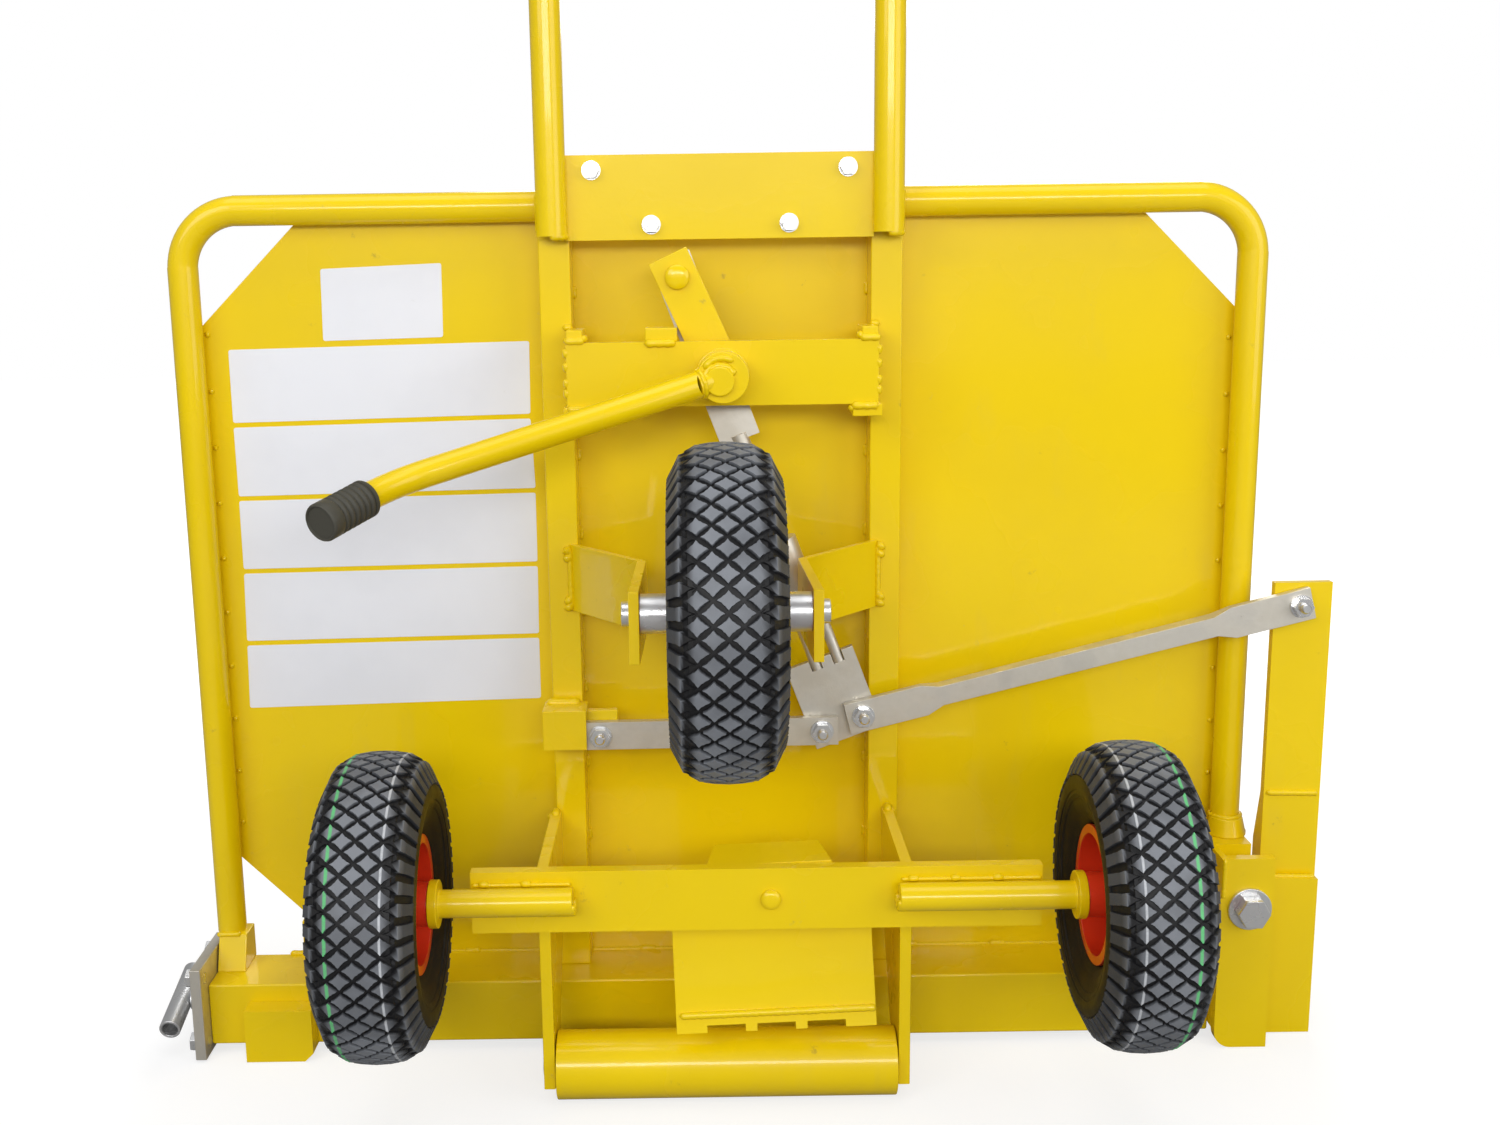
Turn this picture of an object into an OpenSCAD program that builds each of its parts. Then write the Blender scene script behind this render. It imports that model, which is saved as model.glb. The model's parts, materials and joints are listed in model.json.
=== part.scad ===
// Brick cart: a three-wheel clamp cart that grips a slice of bricks and tips back to roll away.
// X points to the operator's right, Y away from the operator and Z up from the floor.
// Places in X are measured from the middle of the rails, places in Y from the main axle.

/* [Frame] */
// Width over the two bent frame tubes
frame_w = 984; // [940:1:1040]
// Height of the top tube's centre line
frame_top_z = 783; // [760:1:830]
// Outer diameter of the frame, handle and lever tubes
tube_d = 26.9; // [24:0.1:30]
// Wall of those tubes
tube_wall = 2.6; // [2:0.1:4]
// Centre-line radius of the frame corners
tube_bend_r = 52; // [45:1:80]
// Distance from the main axle to the back sheet
sheet_y = 204; // [195:1:230]
// Thickness of the back sheet
sheet_t = 3; // [2:0.5:5]
// Leg of the cut at each sheet corner
corner_cut = 107; // [80:1:130]
// Distance between the rails' centre lines
rail_pitch = 294.8; // [280:0.1:320]
// Width of a rail
rail_w = 28; // [24:1:34]
// Depth of a rail
rail_d = 34; // [30:1:38]
// Wall of a rail
rail_wall = 2.5; // [2:0.5:4]

/* [Handles] */
// Height where the handles start to bend
handle_bend_z = 1020; // [960:1:1120]
// Centre-line radius of the handle bends
handle_bend_r = 90; // [60:1:120]
// Angle of the handle bends
handle_bend_angle = 65; // [45:1:85]
// Straight length after the bend
handle_end_len = 190; // [150:1:240]
// Outer diameter of the handle grips
grip_d = 34; // [32:0.5:40]
// Length of the handle grips
grip_len = 125; // [100:1:140]
// Height of the bolted handle cross plate
cross_plate_h = 73; // [65:1:80]
// Thickness of the handle cross plate and of the tie plate behind it
cross_plate_t = 8; // [6:1:10]
// Diameter of the handle bolts
handle_bolt_d = 8; // [6:1:12]

/* [Bottom beam] */
// Height of the bottom beam
beam_h = 60; // [54:1:68]
// Depth of the bottom beam
beam_d = 69; // [62:1:76]
// Wall of the bottom beam
beam_wall = 4; // [3:0.5:6]
// Gap between the bottom beam and the floor
beam_floor_gap = 8; // [7:0.5:12]
// Reach of the beam past the frame's left side
beam_left_over = 1; // [0:0.5:8]
// Distance from the frame's right side back to the beam's right end
beam_right_back = 38; // [36:0.5:42]

/* [Wheels] */
// Outer diameter of a tyre
tyre_d = 260; // [250:1:266]
// Width of a tyre
tyre_w = 88; // [80:1:92]
// Diameter of the rim's outer flange
rim_d = 118; // [110:1:124]
// Diameter of the wheel axles
axle_d = 24; // [20:1:26]
// Length of a wheel hub
hub_len = 78; // [76:1:84]
// Outer diameter of a wheel hub
hub_d = 38; // [34:1:42]
// Height of the main axle above the floor
axle_z = 203; // [195:1:215]
// Distance between the main wheels' middles
track = 632.5; // [620:0.5:650]
// Sideways shift of the main axle from the rails' middle
axle_shift = 22; // [10:1:30]
// Distance of the support wheel's axle in front of the main axle
support_y = 86.7; // [75:0.1:95]
// Height of the support wheel's axle
support_z = 471.5; // [462:0.5:476]
// Sideways place of the support wheel
support_x = -3; // [-8:0.5:8]
// Distance between the middles of the support wheel's ears
ear_pitch = 139; // [130:1:150]

/* [Axle beam and roller] */
// Length of the axle beam
axle_beam_len = 488; // [460:1:500]
// Height of the axle beam
axle_beam_h = 55; // [50:1:64]
// Thickness of the axle beam
axle_beam_t = 12; // [10:1:16]
// Thickness of the side plates
side_plate_t = 10; // [8:1:12]
// Height of the side plates' upper edge above the axle
side_plate_rise = 21; // [10:1:26]
// Diameter of the ground roller
roller_d = 60.3; // [56:0.1:64]
// Wall of the ground roller
roller_wall = 4; // [3:0.5:6]
// Distance of the roller behind the main axle
roller_y = 45; // [40:1:50]
// Diameter of the roller's axle
roller_axle_d = 16; // [12:1:18]

/* [Lever] */
// Height of the lever's shaft
lever_z = 636; // [630:1:640]
// Diameter of the lever's shaft
lever_shaft_d = 30; // [26:1:32]
// Height of the plate that carries the lever
lever_plate_h = 56; // [52:1:60]
// Thickness of the plate that carries the lever
lever_plate_t = 10; // [8:1:10]
// Distance between the rails and that plate
lever_plate_gap = 35; // [34:1:38]
// Crank length from the shaft to the pin
crank_r = 92.3; // [88:0.1:94]
// Angle by which the crank leans to the left at rest
crank_angle = 24.5; // [22:0.5:26]
// Width of the crank and of the pull bar
crank_w = 36.4; // [32:0.1:38]
// Diameter of the crank pin
crank_pin_d = 14; // [12:1:16]

/* [Clamp linkage] */
// Height of the left link's fixed pivot
link_z = 305; // [298:1:312]
// Length of the left link between its pivots
left_link_len = 204; // [200:1:208]
// Width of the left link
left_link_w = 26; // [24:1:30]
// Width of the right link's flattened ends
link_w = 29; // [26:1:32]
// Height of the right link's middle stretch
link_mid_h = 18; // [14:1:22]
// Depth of the right link's middle stretch
link_mid_d = 16; // [12:1:18]
// Thickness of links, toggle plate and pull bar
link_t = 8; // [6:1:8]
// Diameter of the linkage bolts
link_bolt_d = 10; // [8:1:12]
// Outer diameter of the spring sleeve on the pull bar
sleeve_d = 30; // [29:0.5:32]
// Diameter of the two pull rods
pull_rod_d = 10; // [8:0.5:11]
// Distance between the two pull rods
pull_rod_pitch = 21.2; // [20:0.1:23]

/* [Clamp arm] */
// Distance from the bottom beam's end to the arm's pivot
pivot_in = 26.5; // [25:0.5:28]
// Height of the arm's pivot
pivot_z = 139; // [130:1:146]
// Diameter of the arm's pivot bolt
pivot_d = 20; // [16:1:22]
// Width of the clamp arm
arm_w = 52.5; // [46:0.5:56]
// Thickness of the clamp arm's lower part
arm_t = 22; // [18:1:24]
// Thickness of the clamp arm's upper part
arm_plate_t = 9; // [8:1:12]
// Height of the clamp arm's top
arm_top_z = 438; // [430:1:450]
// Thickness of the arm pivot bracket's front plate
bracket_t = 10; // [8:1:12]

/* [Jaws] */
// Reach of the jaws past the back sheet
jaw_reach = 160; // [120:1:200]
// Height of the jaws
jaw_h = 100; // [80:1:120]
// Thickness of the jaw plates
jaw_plate_t = 12; // [8:1:12]
// Width of the left jaw's saddle
saddle_w = 63; // [56:1:70]
// Distance from the beam's left end to the saddle
saddle_inset = 38; // [36:1:60]
// Diameter of the adjusting screw
screw_d = 20; // [16:1:22]

/* [Pedal] */
// Width of the tilt pedal
pedal_w = 173; // [150:1:180]
// Thickness of the tilt pedal
pedal_t = 6; // [5:0.5:8]
// Sideways place of the pedal's pin
pedal_x = 34.2; // [28:0.1:40]
// Diameter of the pedal's pin
pedal_pin_d = 14; // [12:1:16]

/* [Hidden] */
$fn = 48;

// Clearances of running fits, bolt holes, flat layers, sliding faces and fixed sleeves
run_gap = 0.05;
bolt_gap = 0.25;
layer_gap = 1;
slide_gap = 0.3;
sleeve_gap = 0.1;
// How far a cut runs past the face that it opens
overrun = 1;

// Fastener sizes as shares of the bolt's diameter
head_d_share = 1.85;
head_h_share = 0.65;
nut_h_share = 0.6;
washer_d_share = 2.1;
washer_t_share = 0.2;

// Edges that follow from the frame sizes
tube_x = (frame_w - tube_d) / 2;
tube_y = sheet_y - tube_d / 2;
rail_front = sheet_y - rail_d;
rail_in = (rail_pitch - rail_w) / 2;
rail_out = (rail_pitch + rail_w) / 2;
rail_top_z = frame_top_z + tube_d / 2;
beam_left = frame_w / 2 + beam_left_over;
beam_right = frame_w / 2 - beam_right_back;
beam_top_z = beam_floor_gap + beam_h;
beam_front = sheet_y - beam_d;
load_y = sheet_y + sheet_t;
jaw_end_y = load_y + jaw_reach;

// Handles and their bolted plates
handle_y = rail_front - tube_d / 2;
handle_drop = 27;
handle_low_z = frame_top_z - handle_drop;
cross_plate_drop = 31;
cross_plate_z = frame_top_z - cross_plate_drop;
grip_end_t = 5;
handle_end_in = 5;
handle_end_over = 0.5;
handle_end_d = tube_d + handle_end_over;
bend_lap = 3;
bend_under = 0.5;
upper_bolt_in = 35.4;
lower_bolt_in = 86.9;
plate_bolt_edge = 13;
upper_bolt_x = rail_pitch / 2 - upper_bolt_in;
lower_bolt_x = rail_pitch / 2 - lower_bolt_in;
upper_bolt_z = cross_plate_z + cross_plate_h - plate_bolt_edge;
lower_bolt_z = cross_plate_z + plate_bolt_edge;
handle_bolt_places = [
    [-upper_bolt_x, upper_bolt_z],
    [upper_bolt_x, upper_bolt_z],
    [-lower_bolt_x, lower_bolt_z],
    [lower_bolt_x, lower_bolt_z]
];

// Frame tube ends
left_tube_out = 4;
lug_h = 33;
lug_w = 27;
left_tube_low_z = beam_top_z + lug_h;
collar_len = 17;
collar_d = 38;
collar_top_d = 30;
bracket_over_pivot = 48;
bracket_top_z = pivot_z + bracket_over_pivot;
right_tube_low_z = bracket_top_z + collar_len;

// Layers of the flat linkage, from the rails towards the operator
link_back_gap = 10;
rear_y = rail_front - link_back_gap - link_t;
front_y = rear_y - layer_gap - link_t;
pull_y = rear_y + link_t / 2;
crank_t = 10;
crank_y = rear_y - layer_gap - crank_t;

// Lever: its plate, the tube's way from the shaft, its bend, and the core that the grip sits on
lever_plate_y = rail_front - lever_plate_gap - lever_plate_t;
lever_plate_over = 11.4;
lever_plate_x = rail_pitch / 2 - lever_plate_over;
lever_plate_below = 27;
lever_plate_z = lever_z - lever_plate_below;
lever_plate_top_z = lever_plate_z + lever_plate_h;
lower_tab_in = 34;
lower_tab_w = 26;
upper_tab_in = 26;
upper_tab_w = 14;
tab_t = 11;
stop_w = 28;
stop_h = 12;
lever_front_len = 37;
lever_front = lever_plate_y - lever_front_len;
lever_collar_d = 44;
lever_left = 262;
lever_out = 105;
lever_down = 72;
lever_tube_d = 23;
lever_first_len = 267;
lever_bend_r = 94;
lever_bend_angle = 36;
lever_roll_angle = -93;
lever_grip_len = 48;
lever_grip_d = 31;
lever_core_d = 20;
lever_core_wall = 3;
lever_core_in = 5;
lever_core_len = lever_grip_len + slide_gap;
crank_end = 20;
pin_head_t = 5;
pin_head_d = 21.7;

// Linkage pivots at rest, in X and Z
link_pivot_in = 17.4;
left_link_rise = 1.5;
toggle_pitch_x = 38;
toggle_pitch_z = 14;
arm_from_pivot = 21;
arm_pin_in = 21.5;
arm_pin_below = 20;
pivot_x = beam_right + pivot_in;
arm_x = pivot_x + arm_from_pivot;
pivot_a = [-rail_in + link_pivot_in, link_z];
pivot_b = pivot_a + [left_link_len, left_link_rise];
pivot_c = pivot_b + [toggle_pitch_x, toggle_pitch_z];
pivot_d_place = [arm_x + arm_pin_in, arm_top_z - arm_pin_below];
crank_pin_place = [-crank_r * sin(crank_angle), lever_z + crank_r * cos(crank_angle)];
link_end = 15;
link_tip = 11;
left_link_span = norm(pivot_b - pivot_a);
left_link_angle = atan2(pivot_b[1] - pivot_a[1], pivot_b[0] - pivot_a[0]);
right_link_span = norm(pivot_d_place - pivot_c);
right_link_angle = atan2(pivot_d_place[1] - pivot_c[1], pivot_d_place[0] - pivot_c[0]);
flat_slope = 16;
flat_in = 58;
flat_out = 62;
flat_step = 1;
open_pivot_gap = 2.2;

// Pull bar: its axis runs from the crank pin past the toggle bolt, and lengths count along it
pull_aim_left = 2.7;
pull_aim_up = 84.5;
pull_aim = pivot_b + [-pull_aim_left, pull_aim_up] - crank_pin_place;
pull_angle = atan2(pull_aim[0], -pull_aim[1]);
toggle_from_pin = pivot_b - crank_pin_place;
toggle_at = toggle_from_pin[0] * sin(pull_angle) - toggle_from_pin[1] * cos(pull_angle);
toggle_above = 63.5;
toggle_below = 17.5;
toggle_left = 38;
toggle_right = 27;
toggle_top = toggle_at - toggle_above;
rod_len = 40;
yoke_t = 12;
yoke_top = toggle_top - rod_len - yoke_t;
yoke_edge = 2;
sleeve_air = 4;
sleeve_len = 60;
sleeve_wall = 3;
sleeve_top_t = 6;
sleeve_cap_t = 4;
sleeve_bottom = yoke_top - sleeve_air;
sleeve_top = sleeve_bottom - sleeve_len;
plunger_d = 8;
plunger_play = 3.2;
plunger_head_d = 14;
plunger_head_t = 6;
plunger_head_in = 14;
plunger_top = sleeve_top + plunger_head_in;
spring_t = 2.2;
spring_count = 5;
notch_depth = 10;
pull_bar_len = 154;
pull_stem_d = 16;
pull_stem_lap = 5;

// Bracket of the left link
strap_t = 6;
strap_out = 7;
strap_w = 40;
strap_h = 37;
strap_below = 11;
strap_tab_w = 68;
strap_tab_h = 33;
strap_left = -rail_out - strap_out;
strap_low_z = link_z - strap_below;
strap_front = front_y - layer_gap - strap_t;

// Support wheel brackets and axle
ear_t = 8;
ear_front = 18.3;
ear_h = 56;
ear_above = 20.5;
ear_rear_y = 85;
ear_rear_drop = 12;
bracket_foot_h = 62;
support_end_d = 19;
support_end_out = 6;
spacer_wall = 3;

// Main axle and its beam, whose middle lies a little lower
axle_beam_drop = 5;
axle_beam_z = axle_z - axle_beam_drop;
left_wheel_x = axle_shift - track / 2;
right_wheel_x = axle_shift + track / 2;
stub_in_left = 156;
stub_in_right = 120.5;
stub_over = 14;
axle_collar_t = 8;
axle_collar_d = 41;
retainer_d = 34;
retainer_t = 6;

// Side plates and roller
side_plate_lap = 5;
side_plate_x = rail_out - side_plate_lap;
right_plate_in = 10;
right_plate_x = side_plate_x - right_plate_in;
side_front = axle_d / 2 + axle_beam_t;
side_foot_z = 17;
side_foot_reach = 22;
side_rear_z = 150;
roller_z = roller_d / 2;
roller_plug_t = 14;
roller_end_t = 1.5;
roller_end_over = 5;

// Beam end plate, screw and left jaw
end_plate_t = 10;
end_plate_front = 20;
end_plate_low_z = 2;
end_plate_over = 24;
end_plate_top_z = beam_top_z + end_plate_over;
end_bolt_d = 10;
end_bolt_edge = 13;
end_bolt_places = [
    for (y = [beam_front - end_plate_front + end_bolt_edge, sheet_y - end_bolt_edge])
        for (z = [end_plate_low_z + end_bolt_edge, end_plate_top_z - end_bolt_edge]) [y, z]
];
screw_y = beam_front + beam_d / 2;
screw_z = beam_floor_gap + beam_h / 2;
screw_len = 210;
screw_flange_d = 30;
screw_flange_t = 6;
socket_d = 20;
socket_wall = 2.5;
socket_len = 86;
socket_angle = 14.8;
socket_out = 27;
socket_x = -beam_left - end_plate_t - socket_out;
saddle_x = -beam_left + saddle_inset;
saddle_mid_x = saddle_x + saddle_w / 2;
saddle_lip_t = 21;
saddle_lip_z = 51;
foot_slant = 8;
neck_w = 30;
neck_d = 24;
nut_air = 4;
nut_block = beam_h - 2 * beam_wall - 2 * nut_air;
jaw_wall = 6;
jaw_box_w = 27;
jaw_lap = 2;
jaw_back_travel = 24;
jaw_in_travel = 60;
slot_end = 6;

// Clamp arm and its bracket
arm_step_over = 16;
arm_step_z = pivot_z + arm_step_over;
arm_wedge_over = 98;
arm_wedge_z = pivot_z + arm_wedge_over;
lug_r = 19;
lug_edge_z = 100;
doubler_t = link_t + layer_gap;
bracket_w = 49;
bracket_front = 115;
bracket_web_t = 6;
bracket_round = 16;
post_w = 39;
pivot_washer_d = 40;
pivot_head_d = 30;

// Tilt pedal
pedal_gap = 1;
pedal_tilt = 2;
pedal_knee_below = 43;
pedal_low_below = 117;
pedal_low_y = 4;
pedal_notch_w = 33;
pedal_notch_h = 6;
pedal_lip_low_w = 108;
pedal_lip_top_w = 92;
pedal_lip_reach = 50;
pin_rim = 1.75;
pin_rim_t = 3;

// Tyre section: a power curve above the widest line, straight walls below it
tread_w = 64;
tread_drop = 5;
tread_steps = 8;
shoulder_drop = 26;
shoulder_in = 1;
tyre_wide_share = 0.71;
tyre_wide_r = tyre_d / 2 * tyre_wide_share;
tyre_wall = 8;
bead_w = 58;
bead_depth = 4;
bead_r = rim_d / 2 - bead_depth;
rim_wall = 4;
rim_disc_t = 6;

// Middle of the whole cart, so that the origin lies under it
cart_mid_x = (socket_x - socket_d / 2 + arm_x + arm_w) / 2;
cart_mid_y = (-support_y - tyre_d / 2 + jaw_end_y) / 2;

paint = "gold";
steel = "silver";
rubber = "dimgray";
red = "red";

// Shared shapes

// A rectangle's outline with its low corner at x and z
function rect(x, z, w, h) = [[x, z], [x + w, z], [x + w, z + h], [x, z + h]];

// A straight tube along +Z
module pipe(len, d = tube_d, wall = tube_wall) {
    difference() {
        cylinder(h = len, d = d);
        translate([0, 0, -overrun]) cylinder(h = len + 2 * overrun, d = d - 2 * wall);
    }
}

// A tube bent round the Z axis
module pipe_bend(r, angle, d = tube_d) {
    rotate_extrude(angle = angle) translate([r, 0]) difference() {
        circle(d = d);
        circle(d = d - 2 * tube_wall);
    }
}

// A flat plate with its outline in X and Z, from y towards +Y
module plate_xz(outline, y, t) {
    translate([0, y + t, 0]) rotate([90, 0, 0]) linear_extrude(t) polygon(outline);
}

// A flat plate with its outline in Y and Z, from x towards +X
module plate_yz(outline, x, t) {
    translate([x, 0, 0]) rotate([90, 0, 90]) linear_extrude(t) polygon(outline);
}

// A round bar along +Y
module bar_y(x, y, z, len, d) {
    translate([x, y, z]) rotate([-90, 0, 0]) cylinder(h = len, d = d);
}

// A round bar along +X
module bar_x(x, y, z, len, d) {
    translate([x, y, z]) rotate([0, 90, 0]) cylinder(h = len, d = d);
}

// Hexagons along +Y and along +X
module hex_y(x, y, z, len, d) {
    translate([x, y, z]) rotate([-90, 0, 0]) cylinder(h = len, d = d, $fn = 6);
}

module hex_x(x, y, z, len, d) {
    translate([x, y, z]) rotate([0, 90, 0]) cylinder(h = len, d = d, $fn = 6);
}

// A round hole along +Y through a plate that starts at y
module hole_y(place, y, t, d) {
    bar_y(place[0], y - overrun, place[1], t + 2 * overrun, d);
}

// Turns +Z to point along a direction
module along(dir) {
    rotate([0, acos(dir[2] / norm(dir)), atan2(dir[1], dir[0])]) children();
}

// Turns a shape about a place in X and Z, anticlockwise for the operator
module turned_at(place, angle) {
    translate([place[0], 0, place[1]]) rotate([0, -angle, 0]) children();
}

// A bolt along +Y: head and washer in front of y, washer and nut behind y + grip
module bolt_y(place, y, grip, d) {
    head_h = d * head_h_share;
    washer_t = d * washer_t_share;
    washer_d = d * washer_d_share;
    hex_d = d * head_d_share;
    bar_y(place[0], y - washer_t, place[1], grip + 2 * washer_t, d);
    bar_y(place[0], y - washer_t, place[1], washer_t, washer_d);
    bar_y(place[0], y + grip, place[1], washer_t, washer_d);
    hex_y(place[0], y - washer_t - head_h, place[1], head_h, hex_d);
    hex_y(place[0], y + grip + washer_t, place[1], d * nut_h_share, hex_d);
}

// Frame

module back_sheet() {
    low = beam_top_z;
    side = tube_x;
    top = frame_top_z;
    color(paint) plate_xz([
        [-side + corner_cut, low],
        [side - corner_cut, low],
        [side, low + corner_cut],
        [side, top - corner_cut],
        [side - corner_cut, top],
        [-side + corner_cut, top],
        [-side, top - corner_cut],
        [-side, low + corner_cut]
    ], sheet_y, sheet_t);
}

// Upright, bend and top stretch; the straight ones lap the slightly thinner bend
module frame_tube(side_x, low_z) {
    bend_x = side_x - tube_bend_r;
    bend_z = frame_top_z - tube_bend_r;
    top_len = bend_x - rail_out + bend_lap;
    color(paint) {
        translate([side_x, tube_y, low_z]) pipe(bend_z - low_z + bend_lap);
        translate([bend_x, tube_y, bend_z]) rotate([90, 0, 0])
            pipe_bend(tube_bend_r, 90, tube_d - bend_under);
        translate([rail_out, tube_y, frame_top_z]) rotate([0, 90, 0]) pipe(top_len);
    }
}

module left_frame_tube() {
    mirror([1, 0, 0]) frame_tube(tube_x + left_tube_out, left_tube_low_z);
}

module right_frame_tube() {
    frame_tube(tube_x, right_tube_low_z);
}

// The wedge lug under the left tube and the flared collar under the right one
module tube_end_fittings() {
    color(paint) {
        plate_yz([
            [tube_y - tube_d, beam_top_z],
            [sheet_y, beam_top_z],
            [sheet_y, left_tube_low_z],
            [tube_y - tube_d / 2, left_tube_low_z]
        ], -frame_w / 2, lug_w);
        translate([tube_x, sheet_y - collar_d / 2, bracket_top_z])
            cylinder(h = collar_len, d1 = collar_d, d2 = collar_top_d);
    }
}

module rail(side) {
    h = rail_top_z - beam_top_z;
    color(paint) translate([side * rail_pitch / 2 - rail_w / 2, rail_front, beam_top_z]) difference() {
        cube([rail_w, rail_d, h]);
        translate([rail_wall, rail_wall, -overrun])
            cube([rail_w - 2 * rail_wall, rail_d - 2 * rail_wall, h + 2 * overrun]);
    }
}

module left_rail() {
    rail(-1);
}

module right_rail() {
    rail(1);
}

// Handles

// Moves to the axis of a handle's straight end, where it leaves the bend
module at_handle_end(side) {
    translate([side * rail_pitch / 2, handle_y - handle_bend_r, handle_bend_z])
        rotate([handle_bend_angle, 0, 0]) translate([0, handle_bend_r, 0]) children();
}

// Upright, bend and last stretch, whose slightly wider wall laps the bend's end
module handle_tube(side) {
    color(paint) {
        translate([side * rail_pitch / 2, handle_y, handle_low_z]) pipe(handle_bend_z - handle_low_z);
        translate([side * rail_pitch / 2, handle_y - handle_bend_r, handle_bend_z])
            rotate([90, 0, 90]) pipe_bend(handle_bend_r, handle_bend_angle);
        at_handle_end(side) translate([0, 0, -handle_end_in])
            pipe(handle_end_in + handle_end_len, handle_end_d);
    }
}

module left_handle_tube() {
    handle_tube(-1);
}

module right_handle_tube() {
    handle_tube(1);
}

// A closed rubber sleeve over the last stretch of a tube of length tube_len
module grip(tube_len, len, d, core_d = tube_d) {
    translate([0, 0, tube_len - len]) difference() {
        cylinder(h = len + grip_end_t, d = d);
        translate([0, 0, -overrun]) cylinder(h = len + overrun, d = core_d + 2 * sleeve_gap);
    }
}

module handle_grips() {
    color(rubber) for (side = [-1, 1]) at_handle_end(side)
        grip(handle_end_len, grip_len, grip_d, handle_end_d);
}

module bolted_plate(half_w, y) {
    color(paint) difference() {
        plate_xz(rect(-half_w, cross_plate_z, 2 * half_w, cross_plate_h), y, cross_plate_t);
        for (place = handle_bolt_places) hole_y(place, y, cross_plate_t, handle_bolt_d + 2 * bolt_gap);
    }
}

// The plate's ends meet the round handles
module handle_cross_plate() {
    chord = sqrt(pow(tube_d / 2, 2) - pow(tube_d / 2 - cross_plate_t, 2));
    bolted_plate(rail_pitch / 2 - chord - sleeve_gap, rail_front - cross_plate_t);
}

module rail_tie_plate() {
    bolted_plate(rail_in, rail_front);
}

module handle_bolts() {
    color(steel) for (place = handle_bolt_places)
        bolt_y(place, rail_front - cross_plate_t, 2 * cross_plate_t, handle_bolt_d);
}

// Lever plate on the rails

module lever_cross_plate() {
    color(paint) difference() {
        plate_xz(rect(-lever_plate_x, lever_plate_z, 2 * lever_plate_x, lever_plate_h),
            lever_plate_y, lever_plate_t);
        hole_y([0, lever_z], lever_plate_y, lever_plate_t, lever_shaft_d + 2 * run_gap);
    }
}

module lever_plate_tabs() {
    depth = lever_plate_t + lever_plate_gap;
    color(paint) for (side = [0, 1]) mirror([side, 0, 0]) translate([rail_pitch / 2, lever_plate_y, 0]) {
        translate([-lower_tab_in, 0, lever_plate_z - tab_t]) cube([lower_tab_w, depth, tab_t]);
        translate([-upper_tab_in, 0, lever_plate_top_z]) cube([upper_tab_w, depth, tab_t]);
    }
}

// A block on the lever plate that the crank leans on at rest
module crank_stop() {
    rise = lever_plate_top_z + stop_h - lever_z;
    edge = -rise * tan(crank_angle) - crank_w / 2 / cos(crank_angle) - slide_gap;
    color(paint) translate([edge - stop_w, lever_plate_y, lever_plate_top_z])
        cube([stop_w, crank_y + crank_t - lever_plate_y, stop_h]);
}

// Support wheel carrier

module wheel_bracket(side) {
    ear_x = support_x + side * ear_pitch / 2;
    foot_x = side * (rail_in + ear_t / 2);
    front = -support_y - ear_front;
    ear_top_z = support_z + ear_above;
    foot_top_z = ear_top_z - ear_rear_drop;
    color(paint) difference() {
        union() {
            plate_yz([
                [front, ear_top_z - ear_h],
                [front, ear_top_z],
                [ear_rear_y, foot_top_z],
                [ear_rear_y, foot_top_z - bracket_foot_h]
            ], ear_x - ear_t / 2, ear_t);
            translate([0, 0, foot_top_z - bracket_foot_h]) linear_extrude(bracket_foot_h) polygon([
                [ear_x - ear_t / 2, ear_rear_y],
                [ear_x + ear_t / 2, ear_rear_y],
                [foot_x + ear_t / 2, rail_front],
                [foot_x - ear_t / 2, rail_front]
            ]);
        }
        bar_x(ear_x - ear_t, -support_y, support_z, 2 * ear_t, support_end_d + 2 * bolt_gap);
    }
}

module left_wheel_bracket() {
    wheel_bracket(-1);
}

module right_wheel_bracket() {
    wheel_bracket(1);
}

// Axle with a shoulder inside each ear and a thinner end through it
module support_axle() {
    half = (ear_pitch - ear_t) / 2;
    end = half + ear_t + support_end_out;
    color(steel) {
        bar_x(support_x - half, -support_y, support_z, 2 * half, axle_d);
        bar_x(support_x - end, -support_y, support_z, 2 * end, support_end_d);
    }
}

// Sleeves between the support wheel's hub and the ears
module support_spacers() {
    len = (ear_pitch - ear_t - hub_len) / 2 - slide_gap;
    bore = axle_d + 2 * bolt_gap;
    color(steel) for (x = [-(ear_pitch - ear_t) / 2, hub_len / 2 + slide_gap])
        translate([support_x + x, -support_y, support_z]) rotate([0, 90, 0])
            pipe(len, bore + 2 * spacer_wall, spacer_wall);
}

// Bracket of the left link, welded round the left rail

module link_bracket() {
    depth = rail_front - strap_front;
    flange_z = strap_low_z + strap_h - strap_t;
    color(paint) difference() {
        union() {
            plate_xz(rect(strap_left, strap_low_z, strap_w, strap_h), strap_front, strap_t);
            plate_xz(rect(strap_left, strap_low_z, strap_w, strap_h), rear_y, rail_front - rear_y);
            plate_xz(rect(strap_left, strap_low_z, strap_tab_w, strap_tab_h), rear_y, link_t);
            translate([strap_left, strap_front, strap_low_z]) cube([strap_t, depth, strap_h]);
            translate([strap_left, strap_front, flange_z]) cube([strap_w, depth, strap_t]);
        }
        hole_y(pivot_a, rear_y, link_t, link_bolt_d + 2 * bolt_gap);
    }
}

module link_pivot_bolt() {
    color(steel) bolt_y(pivot_a, front_y - slide_gap, rear_y + link_t - front_y + slide_gap, link_bolt_d);
}

// Main axle

module axle_beam() {
    color(paint) difference() {
        translate([axle_shift - axle_beam_len / 2, axle_d / 2, axle_beam_z - axle_beam_h / 2])
            cube([axle_beam_len, axle_beam_t, axle_beam_h]);
        hole_y([pedal_x, axle_beam_z], axle_d / 2, axle_beam_t, pedal_pin_d + 2 * bolt_gap);
    }
}

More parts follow.
